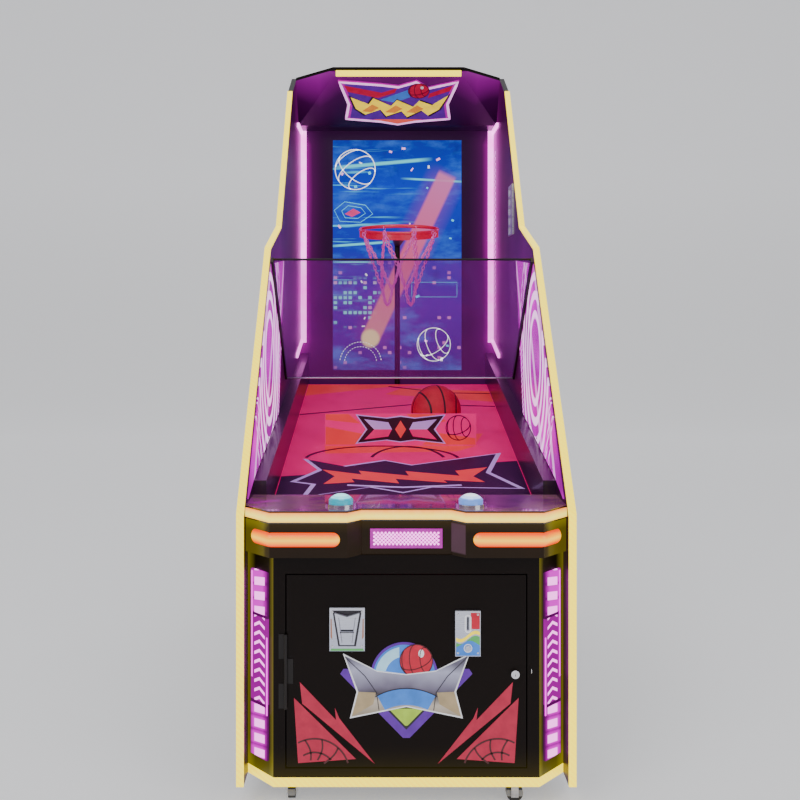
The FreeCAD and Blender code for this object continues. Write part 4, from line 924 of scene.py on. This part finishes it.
def door_corners():
    """A triangle with part of a drawn ball and a barbed shard in each lower corner."""
    face = facing(0, DOOR[0][1], 0, "door")
    triangle = [(-272, 276), (-262, 118), (-122, 128)]
    shard = [(-258, 314), (-252, 262), (-76, 116), (-162, 226), (-173, 252), (-170, 222)]
    lines = []
    centre = np.array((-222, 92)) * MM
    for radius, start, stop in ((0.085, 18, 118), (0.052, 40, 122)):
        lines.append((arc(centre, radius, start, stop, 24), False))
    for angle in (48, 78, 106):
        a = math.radians(angle)
        reach = np.linspace(0.034, 0.085, 10)
        bend = 0.006 * np.sin(np.linspace(0, math.pi, 10))
        spoke = np.stack([centre[0] + np.cos(a) * reach + bend, centre[1] + np.sin(a) * reach], 1)
        lines.append((spoke, False))
    for word, side in SIDES:
        def turned(points):
            return np.asarray(points) * np.array([-side, 1])
        face.shape("corner_triangle_" + word, turned(in_mm(triangle)), "crimson", 1)
        face.shape("corner_shard_" + word, turned(in_mm(shard)), "crimson", 1)
        face.stroke("corner_ball_" + word, [(turned(line), closed) for line, closed in lines], 0.0042,
                    "maroon", 2)


def card_face():
    """Dark-edged shield, side strips, a foot stripe and four screws on the card reader."""
    low, high = CARD
    x = (low[0] + high[0]) / 2
    plate_y = DOOR[0][1] - 0.006
    face = facing(x, plate_y, low[2], "door")
    half = (high[0] - low[0]) / 2
    tall = high[2] - low[2]
    rim = [(-0.0355, tall - 0.006), (0.0355, tall - 0.006), (0.0215, 0.012), (-0.0215, 0.012)]
    face.shape("card_shield_edge", rim, "night", 1)
    for word, side in SIDES:
        bar = [(side * 0.036, 0.028), (side * 0.040, 0.034), (side * 0.040, 0.078), (side * 0.0375, 0.078)]
        face.shape("card_strip_" + word, bar, "copper", 1)
    face.shape("card_foot", [(-half + 0.002, 0.001), (half - 0.002, 0.001), (half - 0.004, 0.006),
                             (-half + 0.004, 0.006)], "green", 1)
    front = facing(x, low[1], low[2], "door")
    front.stroke("card_shield_lines", [(in_mm([(-20, 84), (-12, 24)]), False),
                                       (in_mm([(20, 84), (12, 24)]), False)], 0.0012, "grey_silver", 1)
    # The card slot's opening, a thin strip painted dark as the shade inside it.
    front.shape("card_slot_shade", in_mm([(-17, 47), (17, 47), (17, 49), (-17, 49)]), "night", 1)
    screws("card_screws", face, [(a * (half - 0.007), z) for a in (-1, 1) for z in (0.012, tall - 0.010)], 0.0032)


def screws(name, face, spots, radius):
    """Domed screw heads, half as high as they are wide at the foot's edge."""
    return domes(name, face, spots, radius, radius * 0.5, "chrome")


def coin_face():
    """White-rimmed coin slot, a red block and rolling waves of colour on the coin plate."""
    low, high = COIN
    x = (low[0] + high[0]) / 2
    face = facing(x, low[1], low[2], "door")
    half, tall = (high[0] - low[0]) / 2 - 0.002, high[2] - low[2]
    across = np.linspace(-half, half, 24)
    waves = (("green", 0.002, 0.040, 0.010, 0.0), ("sky", 0.002, 0.030, 0.008, 1.2))
    for n, (paint, foot, height, swing, phase) in enumerate(waves, start=1):
        crest = height + swing * np.sin(across / half * 2.4 + phase)
        top = np.stack([across, crest], 1)
        outline = np.concatenate([[(half, foot)], top[::-1], [(-half, foot)]])
        face.shape("coin_wave_%d" % n, outline, paint, n)
    crest = 0.052 + 0.010 * np.sin(across / half * 2.4)
    sash = np.concatenate([np.stack([across, crest], 1), np.stack([across, crest - 0.008], 1)[::-1]])
    face.shape("coin_sash", sash, "yellow", 2)
    face.shape("coin_block", [(0.007, 0.066), (half, 0.066), (half, tall - 0.004), (0.007, tall - 0.004)],
               "ball_red", 1)
    frame_line = np.concatenate([arc((0, tall - 0.016), 0.0065, 0, 180, 12),
                                 arc((0, tall - 0.044), 0.0065, 180, 360, 12)])
    face.stroke("coin_slot_frame", [(frame_line, True)], 0.0030, "white", 4)
    face.stroke("coin_button_frame", [(disc((0, 0.020), 0.0092, 28), True)], 0.0022, "white", 4)
    screws("coin_screws", face, [(a * 0.024, z) for a in (-1, 1) for z in (0.008, tall - 0.008)], 0.003)


# ---------------------------------------------------------------- playfield art
def mat_art():
    """Slanted colour fields, big drawn seams and a jagged banner printed on the mat."""
    low, high = MAT
    run, rise = high[1] - low[1], high[2] - low[2] - 0.004
    slope = math.hypot(run, rise)
    face = Sheet((0, low[1], high[2] - rise), (1, 0, 0), (0, run / slope, rise / slope))
    half = high[0] - 0.002
    length = slope - 0.002
    thin = 0.00007
    top = length
    field = [(-half, 0.002), (half, 0.002), (half, 0.46), (-half, 0.33)]
    face.shape("mat_foot", field, "mat_purple", 1, step=thin)
    streaks = [
        [(-half, top - 0.16), (-0.02, top - 0.03), (half * 0.4, top - 0.002), (-half, top - 0.002)],
        [(-0.05, top - 0.14), (half, top - 0.24), (half, top - 0.10), (0.02, top - 0.05)],
        [(-0.24, 0.525), (0.18, 0.545), (0.246, 0.598), (-0.246, 0.598)],
        [(-0.246, 0.620), (0.246, 0.620), (0.280, 0.720), (-0.120, 0.680)],
    ]
    for n, outline in enumerate(streaks):
        face.shape("mat_streak_%d" % n, outline, "mat_coral", 1, step=thin)
    seams = [
        (arc((-0.06, 0.47), 0.24, 8, 172, 40, 0.52), False),
        (arc((0.02, 0.44), 0.12, 20, 160, 30, 1.25), False),
        (np.array([(-half, top - 0.40), (half * 0.2, top - 0.27), (half, top - 0.30)]), False),
        (np.array([(-half * 0.1, top - 0.03), (half * 0.5, top - 0.12), (half, top - 0.13)]), False),
    ]
    face.stroke("mat_seams", seams, 0.010, "mat_maroon", 2, step=thin)
    banner = [(-0.29, 0.47), (-0.17, 0.41), (-0.05, 0.46), (0.03, 0.42), (0.30, 0.52), (0.25, 0.36),
              (0.33, 0.24), (0.08, 0.25), (0.0, 0.21), (-0.09, 0.25), (-0.27, 0.18), (-0.25, 0.27),
              (-0.31, 0.29), (-0.24, 0.38)]
    centre = np.array((0.0, 0.33))
    outer = (np.array(banner) - centre) * 1.06 + centre
    face.shape("mat_banner_edge", outer, "mat_lilac", 3, step=thin)
    face.shape("mat_banner", banner, "mat_purple", 4, step=thin)
    bolt = [(-0.24, 0.385), (-0.12, 0.345), (-0.13, 0.375), (0.02, 0.335), (0.01, 0.372), (0.17, 0.335),
            (0.16, 0.375), (0.26, 0.405), (0.21, 0.330), (0.24, 0.285), (0.12, 0.300), (0.13, 0.280),
            (-0.02, 0.310), (-0.01, 0.275), (-0.15, 0.312), (-0.14, 0.285), (-0.23, 0.270), (-0.20, 0.330)]
    face.shape("mat_bolt", bolt, "mat_coral", 5, step=thin)
    face.stroke("mat_underline", [(np.array([(-0.16, 0.262), (0.0, 0.245), (0.17, 0.262)]), False)], 0.010,
                "mat_lilac", 5, step=thin)


def gate_art():
    """A dark starburst with pale bars on the gate's front."""
    low, high = GATE
    shown = 0.102
    foot = high[2] - shown
    face = facing(0, low[1], foot, "gate")
    wide = high[0] - 0.002
    shards = ([(-wide, 0.001), (-wide, 0.060), (-0.120, 0.036), (-0.150, 0.001)],
              [(-wide, 0.101), (-0.170, 0.101), (-0.130, 0.070), (-wide, 0.082)],
              [(wide, 0.001), (0.070, 0.001), (0.120, 0.040), (wide, 0.022)],
              [(0.020, 0.101), (0.110, 0.101), (0.150, 0.078), (0.060, 0.060)])
    for n, outline in enumerate(shards):
        face.shape("gate_shard_%d" % n, outline, "mat_coral", 1)
    burst = [(-0.14, 0.096), (-0.045, 0.086), (0, 0.092), (0.045, 0.086), (0.14, 0.096), (0.108, 0.051),
             (0.14, 0.008), (0.045, 0.018), (0, 0.012), (-0.045, 0.018), (-0.14, 0.008), (-0.108, 0.051)]
    grown = (np.array(burst) - (0, 0.051)) * (1.05, 1.09) + (0, 0.051)
    face.shape("gate_burst_edge", grown, "mat_lilac", 2)
    face.shape("gate_burst", burst, "mat_maroon", 3)
    for word, side in SIDES:
        wing = [(side * 0.118, 0.084), (side * 0.040, 0.074), (side * 0.028, 0.051), (side * 0.086, 0.051)]
        face.shape("gate_wing_" + word, wing, "mat_lilac", 4)
        face.shape("gate_tail_" + word, [(x, shown - z) for x, z in wing], "mat", 4)
    face.shape("gate_gem", [(0, 0.080), (0.018, 0.051), (0, 0.022), (-0.018, 0.051)], "mat_coral", 4)
    face.stroke("gate_ball", ball_lines((0.188, 0.056), 0.040), 0.0026, "mat_maroon", 2)


def new_ball():
    """The ball: its centre plus unit directions times the radius less a dip along each seam.

    The dip is the groove's depth times exp(-(nearness to a seam / its width) squared).
    """
    centre = (BALL[0] + BALL[1]) / 2
    radius = float(BALL[1][2] - BALL[0][2]) / 2
    rows, columns = 160, 256
    lean = np.linspace(0, np.pi, rows)[1:-1]
    turn = np.linspace(0, 2 * np.pi, columns, endpoint=False)
    a, b = np.meshgrid(lean, turn, indexing="ij")
    unit = np.stack([np.sin(a) * np.cos(b), np.sin(a) * np.sin(b), np.cos(a)], -1)
    seam = ball_seam(unit[..., 0], unit[..., 1], unit[..., 2])
    groove, groove_wide, shy = 0.0011, 0.022, 0.0002
    dip = groove * np.exp(-(seam / groove_wide) ** 2)
    points = (centre + unit * (radius - shy - dip)[..., None]).reshape(-1, 3)
    pole = np.array((0, 0, radius - 2 * shy))
    points = np.concatenate([points, [centre + pole], [centre - pole]])
    faces = quads(rows - 2, columns, 0, False, True)
    n = len(points)
    last = (rows - 3) * columns
    faces += [[i, (i + 1) % columns, n - 2] for i in range(columns)]
    faces += [[last + (i + 1) % columns, last + i, n - 1] for i in range(columns)]
    thing = piece("game_ball", points, faces, "ball", "ball", smooth=True)
    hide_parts("ball")


# ---------------------------------------------------------------- hoop net
def link_shape(long, wide, wire, sides=5, steps=12):
    """A chain link about the origin: a round wire bent round a stadium that lies along Z.

    The path is a circle whose two halves are moved apart along Z by the straight part. The wire is half its
    thickness times (cos b outward + sin b across) from the path.
    """
    angle = np.linspace(0, 2 * np.pi, steps, endpoint=False)
    bend = (wide - wire) / 2
    straight = (long - wide) / 2
    path = np.stack([np.cos(angle) * bend, 0 * angle, np.sin(angle) * bend + np.sign(np.sin(angle)) * straight], 1)
    outward = np.stack([np.cos(angle), 0 * angle, np.sin(angle)], 1)
    turn = np.linspace(0, 2 * np.pi, sides, endpoint=False)
    ring = path[:, None] + wire / 2 * (np.cos(turn)[None, :, None] * outward[:, None]
                                       + np.sin(turn)[None, :, None] * np.array([0, 1.0, 0]))
    return ring.reshape(-1, 3), [f[::-1] for f in quads(steps, sides)]


def link_places(path, pitch=0.0128):
    """Middles and directions of links at an even pitch along a path, each a quarter turn on from the last."""
    path = np.asarray(path, float)
    gaps = np.concatenate([[0], np.cumsum(np.linalg.norm(np.diff(path, axis=0), axis=1))])
    count = max(2, int(round(gaps[-1] / pitch)))
    stops = np.linspace(0, gaps[-1], count + 1)
    spots = np.stack([np.interp(stops, gaps, path[:, k]) for k in range(3)], 1)
    along = np.diff(spots, axis=0)
    along = along / np.linalg.norm(along, axis=1)[:, None]
    side = np.cross(along, (0.31, 0.95, 0.05))
    side = side / np.linalg.norm(side, axis=1)[:, None]
    other = np.cross(along, side)
    odd = (np.arange(count) % 2 == 1)[:, None]
    basis = np.stack([np.where(odd, other, side), np.where(odd, -side, other), along], 1)
    return (spots[:-1] + spots[1:]) / 2, basis


def chain_net():
    """Chains hang from eight hooks, cross in pairs half way down and end in low loops.

    Every link is the same shape times the directions of its place, plus the middle of its place.
    """
    x = (RING[0][0] + RING[1][0]) / 2
    y = (RING[0][1] + RING[1][1]) / 2
    top = RING[1][2] - 0.012
    hook_reach, knot_reach, low_reach = 0.138, 0.088, 0.064
    knot_z, low_z = top - 0.125, top - 0.205
    places = []
    hooks = 8

    def spot(turn, radius, z):
        a = 2 * np.pi * turn / hooks
        return np.array([x + radius * np.cos(a), y + radius * np.sin(a), z])

    def hang(first, last, sag):
        """A straight line that drops by the sag times 4 t (1 - t)."""
        t = np.linspace(0, 1, 14)[:, None]
        line = first * (1 - t) + last * t
        line[:, 2] -= sag * 4 * (t * (1 - t))[:, 0]
        return line

    for n in range(hooks):
        hook = spot(n + 0.5, hook_reach, top - 0.010)
        for side in (-0.5, 0.5):
            knot = spot(n + 0.5 + side, knot_reach, knot_z)
            places.append(link_places(hang(hook, knot, 0.006)))
    for n in range(hooks):
        knot = spot(n, knot_reach, knot_z)
        for side in (-0.5, 0.5):
            low = spot(n + side, low_reach, low_z)
            places.append(link_places(hang(knot, low, 0.008)))
    for n in range(0, hooks, 2):
        first, last = spot(n + 0.5, low_reach, low_z), spot(n + 1.5, low_reach, low_z)
        places.append(link_places(hang(first, last, 0.060)))
    ring, ring_faces = link_shape(0.0185, 0.0115, 0.0031)
    middles, turns = (np.concatenate(part) for part in zip(*places))
    points = ring @ turns + middles[:, None]
    faces = copies(ring_faces, len(middles), len(ring))
    net = piece("net_links", points, faces, "chain", "hoop", smooth=True)
    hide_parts("chain_net")
    hook_points, hook_faces = [], []
    for n in range(hooks):
        angle = np.linspace(-0.4, 1.55 * np.pi, 16)
        a = 2 * np.pi * (n + 0.5) / hooks
        out = np.array([np.cos(a), np.sin(a), 0])
        centre = spot(n + 0.5, hook_reach, top + 0.0035)
        curl = centre + 0.0085 * (np.cos(angle)[:, None] * out + np.sin(angle)[:, None] * np.array([0, 0, 1.0]))
        curl = curl - np.array([0, 0, 0.004])
        ring, ring_faces = sweep_tube(curl, 0.0014, 6)
        start = sum(len(p) for p in hook_points)
        hook_points.append(ring)
        hook_faces.extend([[start + i for i in f] for f in ring_faces])
    piece("net_hooks", np.concatenate(hook_points), hook_faces, "chain", "hoop", smooth=True)


# ---------------------------------------------------------------- picture, sign and trim
def screen_art():
    """Drawn balls, a panel outline, scraps of light and a dashed arc, laid just proud of the screen."""
    low, high = SCREEN
    face = facing(0, low[1], low[2])
    tall, half = high[2] - low[2], high[0]
    face.stroke("screen_ball_low", ball_lines((0.150, 0.105), 0.068, 35), 0.0036, "white_glow", 1)
    face.stroke("screen_ball_high", ball_lines((-0.172, 0.822), 0.082, -40), 0.0036, "white_glow", 1)
    panel = np.array([(-0.258, 0.655), (-0.215, 0.690), (-0.130, 0.676), (-0.100, 0.640), (-0.150, 0.606),
                      (-0.235, 0.610)])
    face.stroke("screen_panel", [(panel, True), ((panel - (-0.178, 0.648)) * 0.62 + (-0.178, 0.648), True)],
                0.0026, "cyan_glow", 1)
    face.shape("screen_panel_gem", [(-0.215, 0.640), (-0.180, 0.662), (-0.150, 0.646), (-0.185, 0.628)],
               "rose_glow", 1)
    rng = np.random.default_rng(7)
    for n in range(30):
        x, z = rng.uniform(-half + 0.02, half - 0.02), rng.uniform(0.04, tall - 0.03)
        a, b = rng.uniform(0.003, 0.009), rng.uniform(0.002, 0.006)
        turn = rng.uniform(0, math.pi)
        c, s = math.cos(turn), math.sin(turn)
        flat = np.array([(-a, -b), (a, -b), (a, b), (-a, b)]) @ np.array([[c, s], [-s, c]])
        paint = ("pink_glow", "white_glow", "cyan_glow")[n % 3]
        face.shape("screen_scrap_%02d" % n, flat + (x, z), paint, 1)
    dashes = [(arc((-0.150, 0.030), radius, angle, angle + 4, 3), False)
              for radius, gap in ((0.085, 8), (0.066, 10)) for angle in range(8, 172, gap)]
    face.stroke("screen_dashes", dashes, 0.0030, "white_glow", 1)
    frame_line = np.array([(0.060, 0.360), (0.245, 0.360), (0.245, 0.300), (0.060, 0.300)])
    face.stroke("screen_box", [(np.concatenate([
        np.linspace(a, b, 4, endpoint=False) for a, b in zip(frame_line, np.roll(frame_line, -1, 0))]), True)],
        0.0016, "cyan_glow", 1)


def sign_art():
    """Glowing edge, coloured bars, a swoosh and a ball on the header's sign."""
    header_front = box("header_bar")[1][1]
    top_z = HEADER[1][2] - 0.020
    run = 0.246
    drop = top_z - HEADER[0][2]
    length = math.hypot(run, drop)
    down = np.array([0, run, -drop]) / length
    out = np.array([0, -drop, -run]) / length
    origin = np.array([0, header_front, top_z]) + out * 0.010
    face = Sheet(origin, (1, 0, 0), -down)
    half = SIGN[1][0]
    top, low = -0.06 * length, -0.94 * length

    def at(u, v):
        """u is a share of the half width and v a share of the way down the board."""
        return (u * half, top + (low - top) * v)

    def outline(points):
        return np.array([at(u, v) for u, v in points])

    edge = [(1, 0), (0.5, 0.148), (0.3, 0), (0, 0.114), (-0.3, 0.068), (-1, 0), (-0.86, 0.511),
            (-0.92, 0.864), (-0.3, 0.932), (0, 1), (0.3, 0.932), (0.92, 0.864), (0.86, 0.511)]
    line = outline(edge)
    centre = line.mean(0)
    face.stroke("sign_edge", [(np.concatenate([
        np.linspace(a, b, 6, endpoint=False)
        for a, b in zip((line - centre) * 0.975 + centre, np.roll((line - centre) * 0.975 + centre, -1, 0))
    ]), True)], 0.010, "pink_glow", 3)
    face.shape("sign_field", (line - centre) * 0.90 + centre, "purple", 2)
    face.shape("sign_bar_left", outline([(-0.9, 0.08), (-0.28, 0.24), (-0.02, 0.14), (-0.06, 0.24),
                                         (-0.34, 0.36), (-0.84, 0.22)]), "ball_red", 4)
    face.shape("sign_bar_right", outline([(0.9, 0.08), (0.52, 0.26), (0.5, 0.36), (0.86, 0.2)]), "ball_red", 4)
    face.shape("sign_swoosh", outline([(-0.3, 0.40), (0.16, 0.18), (0.2, 0.34), (-0.06, 0.46)]), "sky", 4)
    ball = at(0.34, 0.20)
    face.shape("sign_ball", disc(ball, 0.040), "ball_red", 4)
    face.stroke("sign_ball_seams", ball_lines(ball, 0.0395), 0.0026, "maroon", 5)
    face.shape("sign_ball_shine", disc((ball[0] + 0.012, ball[1] + 0.018), 0.006, 18, 1.2), "white", 6)
    bolt = [(-0.80, 0.34), (-0.50, 0.50), (-0.42, 0.36), (-0.12, 0.54), (-0.02, 0.40), (0.26, 0.56),
            (0.36, 0.42), (0.58, 0.52), (0.84, 0.30), (0.70, 0.62), (0.52, 0.76), (0.40, 0.64),
            (0.16, 0.80), (0.06, 0.66), (-0.20, 0.78), (-0.30, 0.62), (-0.56, 0.74), (-0.72, 0.60)]
    grown = [(u * 1.05, 0.56 + (v - 0.56) * 1.16) for u, v in bolt]
    face.shape("sign_bolt_edge", outline(grown), "night", 5)
    face.shape("sign_bolt", outline(bolt), "yellow", 6)
    for n, (u, v) in enumerate(((-0.46, 0.60), (-0.06, 0.62), (0.30, 0.62))):
        facet = [(u - 0.16, v + 0.06), (u + 0.02, v - 0.10), (u + 0.14, v - 0.02), (u, v + 0.08)]
        face.shape("sign_facet_%d" % n, outline(facet), "amber", 7)
    face.shape("sign_foot", outline([(-0.42, 0.86), (0.42, 0.86), (0.0, 0.965)]), "coral_glow", 4)


def grille_lamps():
    """Staggered rows of small domes over the grille's holes."""
    low, high = GRILLE
    z_mid = (low[2] + high[2]) / 2
    columns, pitch = 18, (high[0] - low[0] - 0.020) / 17
    face = facing(0, low[1], 0)
    row_pitch = 0.009
    rows = [(n - 1.5, columns, 0.0) for n in range(4)] + [(n - 1.0, columns - 1, pitch / 2) for n in range(3)]
    spots = np.concatenate([
        np.stack([low[0] + 0.010 + shift + np.arange(count) * pitch, np.full(count, z_mid + row * row_pitch)], 1)
        for row, count, shift in rows])
    domes("grille_lamps", face, spots, 0.0029, 0.0016, "pink", sides=10, rings=3)


def wall_ticks():
    """A ladder of short bent bars on the right wall, one every 23.5 mm beside the corner lamp."""
    face = Sheet((WALL[1][0], 0, 0), (0, -1, 0), (0, 0, 1))
    y, low, high = WALL[0][1] - 0.060, 1.24, 1.86
    bars = [(np.array([(-y - 0.014, z - 0.009), (-y, z), (-y + 0.014, z + 0.009)]), False)
            for z in np.arange(low, high, 0.0235)]
    face.stroke("wall_ticks", bars, 0.0048, "pink_glow", 2)


def trim():
    """A dark edge and a silver foot on the guard, and rivets along the windows."""
    half = GUARD[1][0]
    for name, y, z, radius, paint in (
            ("guard_edge", GUARD[0][1] + 0.002, GUARD[1][2] - 0.001, 0.0034, "powder"),
            ("guard_foot", GUARD[1][1] - 0.003, GUARD[0][2], 0.0026, "silver")):
        ends = np.array([(-half, y, z), (half, y, z)])
        path = ends[0] + np.linspace(0, 1, 12)[:, None] * (ends[1] - ends[0])
        points, faces = sweep_tube(path, radius, 10)
        piece(name, points, faces, paint, smooth=True)
    rail_high = 0.130
    base = RAILS[0][2] + rail_high
    rise = (RAILS[1][2] - RAILS[0][2] - rail_high) / (RAILS[1][1] - RAILS[0][1])
    for word, side in SIDES:
        face = Sheet((side * (WINDOWS[1][0] - 0.003), 0, 0), (0, -side, 0), (0, 0, 1))
        spots = [(-side * y, base + (y - RAILS[0][1]) * rise + 0.016)
                 for y in np.linspace(RAILS[0][1] + 0.04, RAILS[0][1] + 0.52, 5)]
        screws("window_rivets_" + word, face, spots, 0.004)


# ---------------------------------------------------------------- studio
def floor():
    """A wide pale floor that rises into a backdrop by a quarter circle: far + r sin a, r (1 - cos a)."""
    wide, near, far, curve, tall = 44.0, -24.0, 6.0, 3.0, 16.0
    a = np.linspace(0, 1, 24) * np.pi / 2
    bend = np.stack([far + curve * np.sin(a), curve * (1 - np.cos(a))], 1)
    profile = np.concatenate([[(near, 0.0)], bend, [(far + curve, tall)]])
    across = np.array([-wide / 2, wide / 2])
    points = np.empty((len(profile), 2, 3))
    points[..., 0], points[..., 1:] = across, profile[:, None]
    faces = [f[::-1] for f in quads(len(profile), 2, 0, False, False)]
    mesh = bpy.data.meshes.new("studio_floor")
    mesh.from_pydata(points.reshape(-1, 3).tolist(), [], faces)
    mesh.polygons.foreach_set("use_smooth", [True] * len(mesh.polygons))
    thing = bpy.data.objects.new("studio_floor", mesh)
    bpy.context.scene.collection.objects.link(thing)
    p = Paint("studio_pale", rough=0.6)
    pale = p.blend(p.noise(2, 2) * 0.3, (0.82, 0.82, 0.84), (0.78, 0.78, 0.80))
    mesh.materials.append(p.finish(base=pale, lit=pale, glow=0.5))


def soft_light(name, spot, aim, wide, power):
    """A square area lamp at the spot, turned to face the aim."""
    lamp = bpy.data.lights.new(name, "AREA")
    lamp.shape = "RECTANGLE"
    lamp.size = lamp.size_y = wide
    lamp.energy = power
    thing = bpy.data.objects.new(name, lamp)
    bpy.context.scene.collection.objects.link(thing)
    thing.location = spot
    way = np.array(aim, float) - np.array(spot, float)
    way = way / np.linalg.norm(way)
    thing.rotation_euler = (math.acos(-way[2]), 0, math.atan2(way[1], way[0]) - math.pi / 2)


def studio():
    """Pale air, three soft lamps and the floor."""
    world = bpy.data.worlds.new("studio_air")
    world.use_nodes = True
    world.node_tree.nodes["Background"].inputs[0].default_value = (0.90, 0.91, 0.94, 1)
    world.node_tree.nodes["Background"].inputs[1].default_value = 0.32
    bpy.context.scene.world = world
    soft_light("key_light", (-2.6, -4.2, 3.6), (0, 0, 1.0), 2.6, 75)
    soft_light("fill_light", (3.0, -3.6, 2.2), (0, 0, 1.0), 2.6, 40)
    soft_light("top_light", (0, -0.6, 4.6), (0, 0, 1.0), 2.2, 34)
    floor()


def camera():
    """Level camera at standing eye height in front of the machine, framed by a small shift down."""
    lens = bpy.data.cameras.new("player_view")
    lens.lens = 40.9
    lens.sensor_width = 36.0
    lens.shift_x = 0.02
    lens.shift_y = -0.106
    thing = bpy.data.objects.new("player_view", lens)
    bpy.context.scene.collection.objects.link(thing)
    eye_height, stand_off = 1.202, 2.2
    thing.location = (-0.054, DOOR[0][1] - stand_off, eye_height)
    thing.rotation_euler = (math.pi / 2, 0, 0)
    bpy.context.scene.camera = thing


camera()
studio()
door_emblem()
door_corners()
card_face()
coin_face()
mat_art()
gate_art()
new_ball()
chain_net()
screen_art()
sign_art()
grille_lamps()
wall_ticks()
trim()
